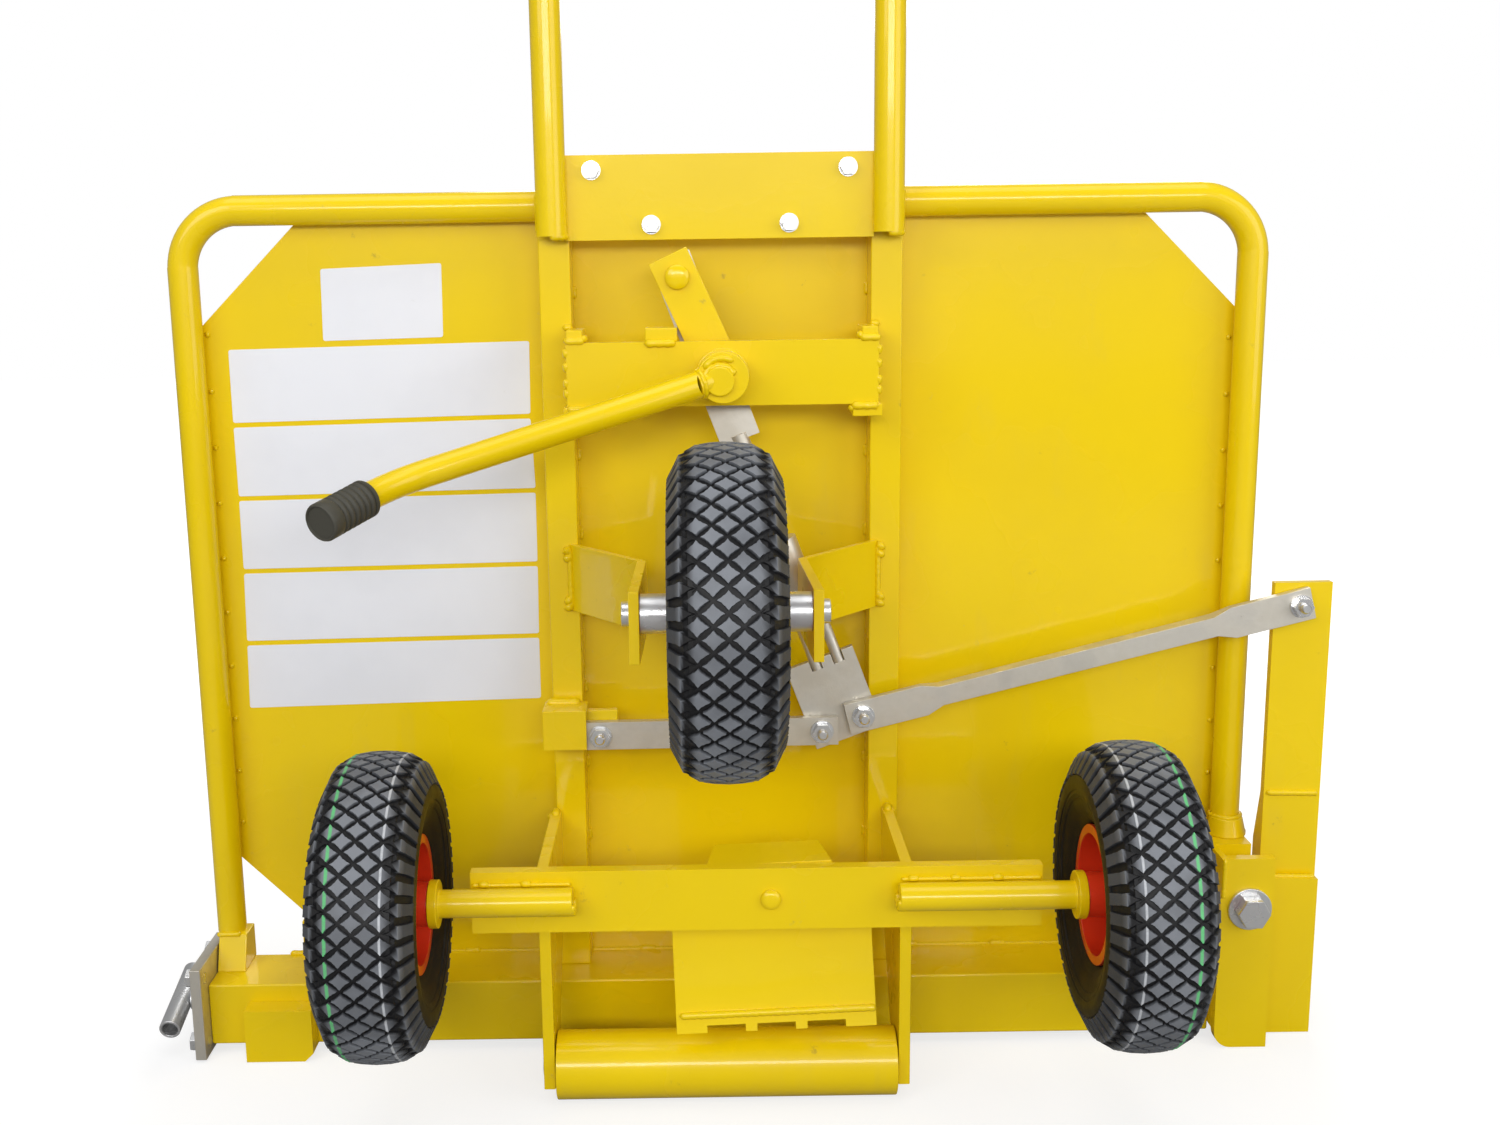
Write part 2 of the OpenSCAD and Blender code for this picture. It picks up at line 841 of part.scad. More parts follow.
// Round stubs on the beam's front face, with a collar inside each wheel
module axle_stubs() {
    left_in = axle_shift - stub_in_left;
    right_in = axle_shift + stub_in_right;
    left_end = left_wheel_x - hub_len / 2 - stub_over;
    right_end = right_wheel_x + hub_len / 2 + stub_over;
    collar_at = hub_len / 2 + slide_gap;
    color(paint) {
        bar_x(left_end, 0, axle_z, left_in - left_end, axle_d);
        bar_x(right_in, 0, axle_z, right_end - right_in, axle_d);
        bar_x(left_wheel_x + collar_at, 0, axle_z, axle_collar_t, axle_collar_d);
        bar_x(right_wheel_x - collar_at - axle_collar_t, 0, axle_z, axle_collar_t, axle_collar_d);
    }
}

// Rings on the axle ends, outside the wheels
module axle_retainers() {
    collar_at = hub_len / 2 + slide_gap;
    bore = axle_d + 2 * sleeve_gap;
    color(steel) for (x = [left_wheel_x - collar_at - retainer_t, right_wheel_x + collar_at])
        translate([x, 0, axle_z]) rotate([0, 90, 0]) pipe(retainer_t, retainer_d, (retainer_d - bore) / 2);
}

// Side plates, from the rails to the axle beam and down to the roller

module side_plate(side) {
    top_z = axle_z + side_plate_rise;
    left = side > 0 ? right_plate_x : -side_plate_x - side_plate_t;
    color(paint) difference() {
        plate_yz([
            [side_front, side_foot_z],
            [roller_y + side_foot_reach, side_foot_z],
            [rail_front, side_rear_z],
            [rail_front, top_z],
            [side_front, top_z]
        ], left, side_plate_t);
        bar_x(left - overrun, roller_y, roller_z, side_plate_t + 2 * overrun, roller_axle_d + 2 * bolt_gap);
    }
}

module left_side_plate() {
    side_plate(-1);
}

module right_side_plate() {
    side_plate(1);
}

// Axle with a thin round head on each side plate
module roller_axle() {
    left = -side_plate_x - side_plate_t;
    right = right_plate_x + side_plate_t;
    color(steel) {
        bar_x(left, roller_y, roller_z, right - left, roller_axle_d);
        for (x = [left - roller_end_t, right])
            bar_x(x, roller_y, roller_z, roller_end_t, roller_axle_d + roller_end_over);
    }
}

module ground_roller() {
    left = layer_gap - side_plate_x;
    len = right_plate_x - layer_gap - left;
    color(paint) translate([left, roller_y, roller_z]) rotate([0, 90, 0]) difference() {
        cylinder(h = len, d = roller_d);
        translate([0, 0, roller_plug_t])
            cylinder(h = len - 2 * roller_plug_t, d = roller_d - 2 * roller_wall);
        translate([0, 0, -overrun]) cylinder(h = len + 2 * overrun, d = roller_axle_d + 2 * run_gap);
    }
}

// Bottom beam, with the slot that the left jaw's neck slides in

module bottom_beam() {
    len = beam_left + beam_right;
    slot_x = saddle_mid_x - neck_w / 2 - jaw_back_travel - slot_end;
    slot_len = neck_w + jaw_back_travel + jaw_in_travel + 2 * slot_end;
    slot_d = neck_d + 2 * slide_gap;
    color(paint) difference() {
        translate([-beam_left, beam_front, beam_floor_gap]) cube([len, beam_d, beam_h]);
        translate([-beam_left - overrun, beam_front + beam_wall, beam_floor_gap + beam_wall])
            cube([len + 2 * overrun, beam_d - 2 * beam_wall, beam_h - 2 * beam_wall]);
        translate([slot_x, screw_y - slot_d / 2, beam_floor_gap - overrun])
            cube([slot_len, slot_d, beam_wall + 2 * overrun]);
    }
}

module end_plate() {
    left = -beam_left - end_plate_t;
    depth = end_plate_t + 2 * overrun;
    color(steel) difference() {
        translate([left, beam_front - end_plate_front, end_plate_low_z])
            cube([end_plate_t, beam_d + end_plate_front, end_plate_top_z - end_plate_low_z]);
        bar_x(left - overrun, screw_y, screw_z, depth, screw_d + 2 * run_gap);
        for (place = end_bolt_places)
            bar_x(left - overrun, place[0], place[1], depth, end_bolt_d + 2 * bolt_gap);
    }
}

module end_plate_bolts() {
    left = -beam_left - end_plate_t;
    head_h = end_bolt_d * head_h_share;
    color(steel) for (place = end_bolt_places) {
        bar_x(left, place[0], place[1], end_plate_t, end_bolt_d);
        hex_x(left - head_h, place[0], place[1], head_h, end_bolt_d * head_d_share);
    }
}

// Pivot of the clamp arm

module arm_pivot_bracket() {
    post_y = rear_y + layer_gap;
    web_y = bracket_front + bracket_t;
    color(paint) difference() {
        union() {
            plate_xz(rect(beam_right + bracket_round, 0, bracket_w - bracket_round, bracket_top_z),
                bracket_front, bracket_t);
            plate_xz(rect(beam_right, bracket_round, bracket_w, bracket_top_z - bracket_round),
                bracket_front, bracket_t);
            bar_y(beam_right + bracket_round, bracket_front, bracket_round, bracket_t, 2 * bracket_round);
            translate([beam_right, web_y, bracket_round])
                cube([bracket_web_t, post_y - web_y, bracket_top_z - bracket_round]);
            translate([beam_right, post_y, beam_floor_gap])
                cube([post_w, sheet_y - post_y, bracket_top_z - beam_floor_gap]);
        }
        hole_y([pivot_x, pivot_z], bracket_front, sheet_y - bracket_front, pivot_d + 2 * bolt_gap);
    }
}

// Pivot bolt with its wide washer and the spacer in front of the arm
module arm_pivot_bolt() {
    head_h = pivot_d * head_h_share;
    washer_t = pivot_d * washer_t_share;
    spacer_y = bracket_front + bracket_t;
    color(steel) {
        bar_y(pivot_x, bracket_front - washer_t, pivot_z, sheet_y - bracket_front + washer_t, pivot_d);
        bar_y(pivot_x, bracket_front - washer_t, pivot_z, washer_t, pivot_washer_d);
        hex_y(pivot_x, bracket_front - washer_t - head_h, pivot_z, head_h, pivot_head_d);
        bar_y(pivot_x, spacer_y, pivot_z, front_y - slide_gap - spacer_y, pivot_d + 2 * spacer_wall);
    }
}

module pedal_pin() {
    rim_d_pin = pedal_pin_d + 2 * pin_rim;
    front = axle_d / 2 - pin_rim_t;
    back = side_front + pedal_t + 2 * pedal_gap;
    color(paint) {
        bar_y(pedal_x, front, axle_beam_z, back - front, pedal_pin_d);
        bar_y(pedal_x, front, axle_beam_z, pin_rim_t, rim_d_pin);
        bar_y(pedal_x, back, axle_beam_z, pin_rim_t, rim_d_pin);
    }
}

// Wheels, turned about X

// Radius and place across of the tyre's section, sunk by a depth: side wall, sloped shoulder and arched tread
function shoulder(top_r, half_w) = [[tyre_wide_r, half_w], [top_r - shoulder_drop, half_w - shoulder_in]];
function tread(top_r, half_w) = [
    for (i = [0 : tread_steps])
        let (across = 1 - 2 * i / tread_steps) [top_r - tread_drop * across * across, half_w * across]
];
function crown(sunk) = concat(
    shoulder(tyre_d / 2 - sunk, tyre_w / 2 - sunk),
    tread(tyre_d / 2 - sunk, (tread_w - sunk) / 2),
    [for (p = reversed(shoulder(tyre_d / 2 - sunk, tyre_w / 2 - sunk))) [p.x, -p.y]]
);
function reversed(list) = [for (i = [len(list) - 1 : -1 : 0]) list[i]];

module tyre() {
    outer = crown(0);
    inner = crown(tyre_wall);
    bead = bead_w / 2;
    color(rubber) rotate([0, 90, 0]) rotate_extrude() polygon(concat(
        [[bead_r, bead], [rim_d / 2, bead]],
        outer,
        [[rim_d / 2, -bead], [bead_r, -bead], [bead_r, tyre_wall - bead]],
        reversed(inner),
        [[bead_r, bead - tyre_wall]]
    ));
}

// Flanged rim, disc and hub tube
module rim() {
    seat = bead_r - sleeve_gap;
    flange = bead_w / 2 + sleeve_gap;
    color(red) rotate([0, 90, 0]) rotate_extrude() {
        translate([seat - rim_wall, -flange - rim_wall]) square([rim_wall, 2 * (flange + rim_wall)]);
        for (x = [-flange - rim_wall, flange])
            translate([seat - rim_wall, x]) square([rim_d / 2 - seat + rim_wall, rim_wall]);
        translate([axle_d / 2 + run_gap, -rim_disc_t / 2])
            square([seat - rim_wall / 2 - axle_d / 2 - run_gap, rim_disc_t]);
        translate([axle_d / 2 + run_gap, -hub_len / 2]) square([(hub_d - axle_d) / 2 - run_gap, hub_len]);
    }
}

module at_left_wheel() {
    translate([left_wheel_x, 0, axle_z]) children();
}

module at_right_wheel() {
    translate([right_wheel_x, 0, axle_z]) children();
}

module at_support_wheel() {
    translate([support_x, -support_y, support_z]) children();
}

module left_tyre() {
    at_left_wheel() tyre();
}

module left_rim() {
    at_left_wheel() rim();
}

module right_tyre() {
    at_right_wheel() tyre();
}

module right_rim() {
    at_right_wheel() rim();
}

module support_tyre() {
    at_support_wheel() tyre();
}

module support_rim() {
    at_support_wheel() rim();
}

// Lever and crank

// Puts +Z along the lever's first stretch, with the bend towards -X
module at_lever() {
    translate([0, lever_front + lever_tube_d / 2, lever_z]) along([-lever_left, -lever_out, -lever_down])
        rotate([0, 0, lever_roll_angle]) children();
}

// Goes on from there to the end of the bend
module past_lever_bend() {
    translate([-lever_bend_r, 0, lever_first_len]) rotate([0, -lever_bend_angle, 0])
        translate([lever_bend_r, 0, 0]) children();
}

// Tube with its foot cut to fit the shaft's collar, and the grip's core set into its bent end
module lever_tube() {
    color(paint) difference() {
        at_lever() {
            translate([0, 0, lever_shaft_d / 2]) pipe(lever_first_len - lever_shaft_d / 2, lever_tube_d);
            translate([-lever_bend_r, 0, lever_first_len]) rotate([90, 0, 0])
                pipe_bend(lever_bend_r, lever_bend_angle, lever_tube_d);
            past_lever_bend() translate([0, 0, -lever_core_in])
                pipe(lever_core_in + lever_core_len, lever_core_d, lever_core_wall);
        }
        bar_y(0, 0, lever_z, lever_plate_y, lever_collar_d + 2 * sleeve_gap);
    }
}

module lever_grip() {
    color(rubber) at_lever() past_lever_bend()
        grip(lever_core_len, lever_grip_len, lever_grip_d, lever_core_d);
}

// Shaft through the lever plate, with the front collar and the rear shoulder
module lever_shaft() {
    shoulder_y = lever_plate_y + lever_plate_t + slide_gap;
    color(paint) {
        bar_y(0, lever_front, lever_z, crank_y + crank_t - lever_front, lever_shaft_d);
        bar_y(0, lever_front, lever_z, lever_plate_y - slide_gap - lever_front, lever_collar_d);
        bar_y(0, shoulder_y, lever_z, crank_y - shoulder_y, lever_collar_d);
    }
}

module crank_arm() {
    below = lever_collar_d / 2;
    color(paint) turned_at([0, lever_z], crank_angle) difference() {
        plate_xz(rect(-crank_w / 2, -below, crank_w, below + crank_r + crank_end), crank_y, crank_t);
        hole_y([0, 0], crank_y, crank_t, lever_shaft_d + 2 * sleeve_gap);
        hole_y([0, crank_r], crank_y, crank_t, crank_pin_d + 2 * sleeve_gap);
    }
}

module crank_pin() {
    washer_t = crank_pin_d * washer_t_share;
    pin_end = rear_y + link_t + slide_gap;
    front = crank_y - pin_head_t;
    x = crank_pin_place[0];
    z = crank_pin_place[1];
    color(paint) {
        bar_y(x, front, z, pin_end + washer_t - front, crank_pin_d);
        bar_y(x, front, z, pin_head_t, pin_head_d);
        bar_y(x, pin_end, z, washer_t, pin_head_d);
    }
}

// Sprung pull bar, measured down its axis from the crank pin

module at_pull() {
    turned_at(crank_pin_place, pull_angle) children();
}

// A round bar on the pull axis, or beside it
module pull_round(from, to, d, x = 0) {
    at_pull() translate([x, pull_y, -to]) cylinder(h = to - from, d = d);
}

// Flat bar and the round stem that goes on to the sleeve
module pull_bar() {
    color(steel) {
        at_pull() difference() {
            plate_xz(rect(-crank_w / 2, -pull_bar_len, crank_w, pull_bar_len + crank_w / 2), rear_y, link_t);
            hole_y([0, 0], rear_y, link_t, crank_pin_d + 2 * run_gap);
        }
        pull_round(pull_bar_len - pull_stem_lap, sleeve_top, pull_stem_d);
    }
}

module spring_sleeve() {
    cap_top = sleeve_bottom - sleeve_cap_t;
    color(steel) difference() {
        pull_round(sleeve_top, sleeve_bottom, sleeve_d);
        pull_round(sleeve_top + sleeve_top_t, cap_top, sleeve_d - 2 * sleeve_wall);
        pull_round(cap_top - overrun, sleeve_bottom + overrun, plunger_d + 2 * plunger_play);
    }
}

// Stack of spring washers between the sleeve's cap and the plunger's head
module disc_springs() {
    stack = sleeve_bottom - sleeve_cap_t;
    step = spring_t + slide_gap;
    outer_d = sleeve_d - 2 * sleeve_wall - 2 * bolt_gap;
    color(steel) for (i = [0 : spring_count - 1]) difference() {
        pull_round(stack - i * step - spring_t, stack - i * step, outer_d);
        pull_round(sleeve_top, sleeve_bottom, plunger_d + 2 * plunger_play + 2 * bolt_gap);
    }
}

// Plunger in the sleeve, yoke and the two rods that pull the toggle plate
module pull_rods() {
    yoke_w = pull_rod_pitch + pull_rod_d + yoke_edge;
    yoke_d = pull_rod_d + yoke_edge;
    color(steel) {
        pull_round(plunger_top, plunger_top + plunger_head_t, plunger_head_d);
        pull_round(plunger_top, yoke_top, plunger_d);
        at_pull() plate_xz(rect(-yoke_w / 2, -yoke_top - yoke_t, yoke_w, yoke_t),
            pull_y - yoke_d / 2, yoke_d);
        for (x = [-pull_rod_pitch / 2, pull_rod_pitch / 2])
            pull_round(yoke_top + yoke_t, toggle_top + notch_depth, pull_rod_d, x);
    }
}

// Links and toggle plate

module left_link() {
    len = left_link_span + 2 * link_end;
    color(steel) turned_at(pivot_a, left_link_angle) difference() {
        plate_xz(rect(-link_end, -left_link_w / 2, len, left_link_w), front_y, link_t);
        for (x = [0, left_link_span]) hole_y([x, 0], front_y, link_t, link_bolt_d + 2 * run_gap);
    }
}

module toggle_plate() {
    notch_w = pull_rod_d + 2 * bolt_gap;
    h = toggle_above + toggle_below;
    color(steel) difference() {
        at_pull() difference() {
            plate_xz(rect(-toggle_left, -toggle_top - h, toggle_left + toggle_right, h), rear_y, link_t);
            for (x = [-pull_rod_pitch / 2, pull_rod_pitch / 2])
                translate([x - notch_w / 2, rear_y - overrun, -toggle_top - notch_depth])
                    cube([notch_w, link_t + 2 * overrun, notch_depth + overrun]);
        }
        hole_y(pivot_b, rear_y, link_t, link_bolt_d + 2 * bolt_gap);
        hole_y(pivot_c, rear_y, link_t, link_bolt_d + 2 * open_pivot_gap);
    }
}

module toggle_bolt() {
    color(steel) bolt_y(pivot_b, front_y - slide_gap, rear_y + link_t - front_y + slide_gap, link_bolt_d);
}

// The right link's square middle stretch is flattened at both ends
module right_link() {
    tip = right_link_span + link_tip;
    in_end = flat_in + flat_slope;
    out_end = right_link_span - flat_out;
    out_start = out_end - flat_slope;
    back = front_y + link_t;
    mid_y = front_y + flat_step;
    mid_back = mid_y + link_mid_d;
    wide = link_w / 2;
    narrow = link_mid_h / 2;
    color(steel) turned_at(pivot_c, right_link_angle) difference() {
        intersection() {
            plate_xz([
                [-link_end, -wide],
                [flat_in, -wide],
                [in_end, -narrow],
                [out_start, -narrow],
                [out_end, -wide],
                [tip, -wide],
                [tip, wide],
                [out_end, wide],
                [out_start, narrow],
                [in_end, narrow],
                [flat_in, wide],
                [-link_end, wide]
            ], front_y - overrun, flat_step + link_mid_d + 2 * overrun);
            translate([0, 0, -link_w]) linear_extrude(2 * link_w) polygon([
                [-link_end, front_y],
                [flat_in, front_y],
                [in_end, mid_y],
                [out_start, mid_y],
                [out_end, front_y],
                [tip, front_y],
                [tip, back],
                [out_end, back],
                [out_start, mid_back],
                [in_end, mid_back],
                [flat_in, back],
                [-link_end, back]
            ]);
        }
        for (x = [0, right_link_span]) hole_y([x, 0], front_y, link_t, link_bolt_d + 2 * bolt_gap);
    }
}

// Bolts at the right link's two ends, through the toggle plate and through the arm
module right_link_bolts() {
    color(steel) {
        bolt_y(pivot_c, front_y, rear_y + link_t - front_y + slide_gap, link_bolt_d);
        bolt_y(pivot_d_place, front_y, rear_y + arm_plate_t - front_y + slide_gap, link_bolt_d);
    }
}

// Clamp arm, thicker below a slope, with its pivot lug, and the right jaw

module clamp_arm() {
    right = arm_x + arm_w;
    doubler_y = rear_y - doubler_t;
    foot_x = beam_right + bracket_w + layer_gap;
    color(paint) difference() {
        union() {
            plate_yz([
                [rear_y, 0],
                [rear_y + arm_t, 0],
                [rear_y + arm_t, bracket_top_z],
                [rear_y + arm_plate_t, arm_wedge_z],
                [rear_y + arm_plate_t, arm_top_z],
                [rear_y, arm_top_z]
            ], arm_x, arm_w);
            plate_xz([
                [pivot_x, pivot_z - lug_r],
                [foot_x, lug_edge_z],
                [foot_x, 0],
                [right, 0],
                [right, arm_step_z],
                [pivot_x, pivot_z + lug_r]
            ], doubler_y, doubler_t);
            bar_y(pivot_x, doubler_y, pivot_z, doubler_t, 2 * lug_r);
        }
        hole_y([pivot_x, pivot_z], doubler_y, doubler_t, pivot_d + 2 * run_gap);
        hole_y(pivot_d_place, rear_y, arm_plate_t, link_bolt_d + 2 * run_gap);
    }
}

// A box on the arm with a gripping plate on its inner side
module right_jaw() {
    jaw_y = rear_y + arm_t;
    len = jaw_end_y - jaw_y;
    color(paint) {
        difference() {
            translate([arm_x, jaw_y, 0]) cube([arm_w, len, jaw_h]);
            translate([arm_x + jaw_wall, jaw_y - overrun, jaw_wall])
                cube([arm_w - 2 * jaw_wall, len - jaw_wall + overrun, jaw_h - 2 * jaw_wall]);
        }
        translate([arm_x - jaw_plate_t, load_y + layer_gap, beam_floor_gap])
            cube([jaw_plate_t, jaw_reach - layer_gap, jaw_h - beam_floor_gap]);
    }
}

// An outline on the floor whose right side slants in below foot_t
function foot_outline(left, right, foot_t, top) = [
    [left, 0],
    [right - foot_slant, 0],
    [right, foot_t],
    [right, top],
    [left, top]
];

// A saddle under the beam, the box jaw behind the sheet and the screw's nut inside the beam
module left_jaw() {
    lip_y = beam_front - slide_gap - saddle_lip_t;
    foot_t = beam_floor_gap - slide_gap;
    jaw_y = load_y + slide_gap;
    right = saddle_x + saddle_w;
    box_x = right - jaw_box_w;
    nut_z = screw_z - nut_block / 2;
    color(paint) {
        plate_xz(foot_outline(saddle_x, right, foot_t, saddle_lip_z), lip_y, saddle_lip_t);
        plate_xz([
            [saddle_x, 0],
            [right - foot_slant, 0],
            [right, foot_t],
            [saddle_x, foot_t]
        ], lip_y, jaw_y + jaw_wall - lip_y);
        difference() {
            plate_xz(foot_outline(box_x, right, foot_t, jaw_h), jaw_y, jaw_end_y - jaw_y);
            translate([box_x + jaw_wall, jaw_y + jaw_wall, foot_t + jaw_wall])
                cube([jaw_box_w - 2 * jaw_wall, jaw_end_y - jaw_y, jaw_h - foot_t - 2 * jaw_wall]);
        }
        translate([right - jaw_lap, jaw_y, beam_floor_gap])
            cube([jaw_plate_t + jaw_lap, jaw_end_y - jaw_y, jaw_h - beam_floor_gap]);
        difference() {
            union() {
                translate([saddle_mid_x - neck_w / 2, screw_y - neck_d / 2, foot_t / 2])
                    cube([neck_w, neck_d, screw_z - foot_t / 2]);
                translate([saddle_mid_x - neck_w / 2, screw_y - nut_block / 2, nut_z])
                    cube([neck_w, nut_block, nut_block]);
            }
            bar_x(saddle_mid_x - neck_w, screw_y, screw_z, 2 * neck_w, screw_d + 2 * slide_gap);
        }
    }
}

// Adjusting screw with a flange on each side of the end plate
module adjusting_screw() {
    left = socket_x + socket_d / 2 + sleeve_gap;
    outer_flange = -beam_left - end_plate_t - slide_gap - screw_flange_t;
    color(steel) {
        bar_x(left, screw_y, screw_z, screw_len - beam_left - left, screw_d);
        bar_x(-beam_left + slide_gap, screw_y, screw_z, screw_flange_t, screw_flange_d);
        bar_x(outer_flange, screw_y, screw_z, screw_flange_t, screw_flange_d);
    }
}

// Cross tube on the screw's end, which takes a turning bar
module screw_socket() {
    color(steel) translate([socket_x, screw_y, screw_z]) rotate([socket_angle - 90, 0, 0])
        translate([0, 0, -socket_len / 2]) pipe(socket_len, socket_d, socket_wall);
}

// Tilt pedal behind the axle beam, hung on its pin

module tilt_pedal() {
    back = side_front + pedal_gap;
    left = -pedal_w / 2;
    knee_z = -pedal_knee_below;
    low_z = -pedal_low_below;
    lip_z = axle_beam_h / 2 - pedal_t;
    color(paint) turned_at([pedal_x, axle_beam_z], pedal_tilt) difference() {
        union() {
            plate_xz(rect(left, knee_z, pedal_w, -knee_z), back, pedal_t);
            plate_yz([
                [back, knee_z],
                [back + pedal_t, knee_z],
                [pedal_low_y + pedal_t, low_z],
                [pedal_low_y, low_z]
            ], left, pedal_w);
            plate_xz(rect(-pedal_lip_low_w / 2, 0, pedal_lip_low_w, lip_z), back, pedal_t);
            translate([0, back, lip_z]) linear_extrude(pedal_t) polygon([
                [-pedal_lip_low_w / 2, 0],
                [pedal_lip_low_w / 2, 0],
                [pedal_lip_top_w / 2, pedal_lip_reach],
                [-pedal_lip_top_w / 2, pedal_lip_reach]
            ]);
        }
        hole_y([0, 0], back, pedal_t, pedal_pin_d + 2 * run_gap);
        for (i = [-1, 0, 1])
            translate([i * pedal_w / 4 - pedal_notch_w / 2, pedal_low_y - back, low_z - overrun])
                cube([pedal_notch_w, 2 * back, pedal_notch_h + overrun]);
    }
}

// Moves the cart so that the origin lies on the floor under its middle
module place_cart() {
    translate([-cart_mid_x, -cart_mid_y, 0]) children();
}

place_cart() back_sheet();
place_cart() left_frame_tube();
place_cart() right_frame_tube();
place_cart() tube_end_fittings();
place_cart() left_rail();
place_cart() right_rail();
place_cart() rail_tie_plate();
place_cart() left_handle_tube();
place_cart() right_handle_tube();
place_cart() handle_grips();
place_cart() handle_cross_plate();
place_cart() handle_bolts();
place_cart() lever_cross_plate();
place_cart() lever_plate_tabs();
place_cart() crank_stop();
place_cart() left_wheel_bracket();
place_cart() right_wheel_bracket();
place_cart() support_axle();
place_cart() support_spacers();
place_cart() link_bracket();
place_cart() link_pivot_bolt();
place_cart() axle_beam();
place_cart() axle_stubs();
place_cart() axle_retainers();
place_cart() left_side_plate();
place_cart() right_side_plate();
place_cart() roller_axle();
place_cart() bottom_beam();
place_cart() end_plate();
place_cart() end_plate_bolts();
place_cart() arm_pivot_bracket();
place_cart() arm_pivot_bolt();
place_cart() pedal_pin();
place_cart() left_tyre();
place_cart() left_rim();
place_cart() right_tyre();
place_cart() right_rim();
place_cart() support_tyre();
place_cart() support_rim();
place_cart() ground_roller();
place_cart() lever_tube();
place_cart() lever_grip();
place_cart() lever_shaft();
place_cart() crank_arm();
place_cart() crank_pin();
place_cart() pull_bar();
place_cart() spring_sleeve();
place_cart() disc_springs();
place_cart() left_link();
place_cart() toggle_plate();
place_cart() toggle_bolt();
place_cart() pull_rods();
place_cart() right_link();
place_cart() right_link_bolts();
place_cart() clamp_arm();
place_cart() right_jaw();
place_cart() left_jaw();
place_cart() adjusting_screw();
place_cart() screw_socket();
place_cart() tilt_pedal();
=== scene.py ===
import json
import math
import random

import bmesh
import bpy
import numpy as np
from mathutils import Matrix, Vector


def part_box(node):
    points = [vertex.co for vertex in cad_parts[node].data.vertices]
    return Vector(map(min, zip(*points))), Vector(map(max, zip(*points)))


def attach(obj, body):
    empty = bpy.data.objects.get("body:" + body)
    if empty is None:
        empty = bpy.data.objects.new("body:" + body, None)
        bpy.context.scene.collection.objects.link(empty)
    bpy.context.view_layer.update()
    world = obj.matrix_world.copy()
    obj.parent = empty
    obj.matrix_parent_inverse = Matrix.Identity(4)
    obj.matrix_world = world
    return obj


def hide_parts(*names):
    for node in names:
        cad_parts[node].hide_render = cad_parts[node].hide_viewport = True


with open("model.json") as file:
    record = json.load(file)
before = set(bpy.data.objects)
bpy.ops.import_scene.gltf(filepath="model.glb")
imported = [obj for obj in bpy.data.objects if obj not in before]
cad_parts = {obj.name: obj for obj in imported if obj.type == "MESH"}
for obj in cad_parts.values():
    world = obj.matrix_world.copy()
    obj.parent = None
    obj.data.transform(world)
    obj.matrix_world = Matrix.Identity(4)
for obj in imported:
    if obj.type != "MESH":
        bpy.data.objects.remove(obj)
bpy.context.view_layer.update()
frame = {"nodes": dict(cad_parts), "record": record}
nodes = frame["nodes"]
body_of_node = {n: b for b, names in frame["record"]["behaviour"]["bodies"].items() for n in names}
MM = 0.001
FULL_TURN = 2 * math.pi
MERGE_DIST = 1e-6

# Places are given as on the cart, in mm: X from the middle between the rails, Y from the main axle and Z from
# the floor
rails_mid_x = (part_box("left_rail")[0].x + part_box("right_rail")[1].x) / 2
axle_mid_y = (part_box("left_tyre")[0].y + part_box("left_tyre")[1].y) / 2


def spot(x, y, z):
    """A place on the cart, in the row frame."""
    return Vector((rails_mid_x + x * MM, axle_mid_y + y * MM, z * MM))


# Finishes

MOTTLE_SCALE = 7.0
SCUFF_SCALE = 55.0
MOTTLE_RANGE = (0.32, 0.68)
SPECK_RANGE = (0.63, 0.72)
PATCH_RANGE = (0.5, 0.66)
STREAK_RANGE = (0.5, 0.75)
STREAK_STRETCH = (40.0, 40.0, 6.0)
GRIT_SHARE = 0.35
COAT_ROUGHNESS = 0.06

PAINT_COAT = 0.38
PAINT_SPECULAR = 0.25
PAINT_DRIFT = 0.45
PAINT_DUST = 0.10
PAINT_SCUFF = 0.55
PAINT_DUST_COLOUR = (0.62, 0.46, 0.10)
PAINT_GLOSS_SPREAD = 0.08
PAINT_SCUFF_DULLING = 0.3

ZINC_METALLIC = 0.85
ZINC_SPECKS = 0.6
ZINC_SPECK_COLOUR = (0.16, 0.13, 0.10)
ZINC_ROUGH_SPREAD = 0.14

RUBBER_SPECULAR = 0.3
RUBBER_DUST = 0.12
RUBBER_DUST_COLOUR = (0.11, 0.10, 0.085)
RUBBER_ROUGH_SPREAD = 0.12
LEAST_RUB = 0.65

# A tyre's paint stripes: place across, half width (both in metres) and colour
TYRE_STRIPES = ((0.0212, 0.0013, (0.13, 0.52, 0.20)), (-0.0212, 0.0008, (0.50, 0.52, 0.55)))
STRIPE_FADE_OUT, STRIPE_FADE_IN = 0.0004, 0.0002
STRIPE_TOP_RANGE = (0.55, 0.9)
STRIPE_SKIN_RANGE = (0.45, 0.75)
STRIPE_LEAST = 0.75

FILM_COAT = 0.2
FILM_COLOUR, FILM_SHADE, FILM_SCUFF_COLOUR = (0.82, 0.835, 0.89), (0.78, 0.795, 0.85), (0.45, 0.43, 0.38)
FILM_SCUFF = 0.3
FILM_ROUGH, FILM_ROUGH_SPREAD = 0.36, 0.12


def shader_group(name, inputs, outputs):
    group = bpy.data.node_groups.new(name, "ShaderNodeTree")
    for label, value in inputs:
        socket = group.interface.new_socket(name=label, in_out="INPUT", socket_type="NodeSocketFloat")
        socket.default_value = value
    for label in outputs:
        group.interface.new_socket(name=label, in_out="OUTPUT", socket_type="NodeSocketFloat")
    return group, group.nodes.new("NodeGroupInput"), group.nodes.new("NodeGroupOutput")


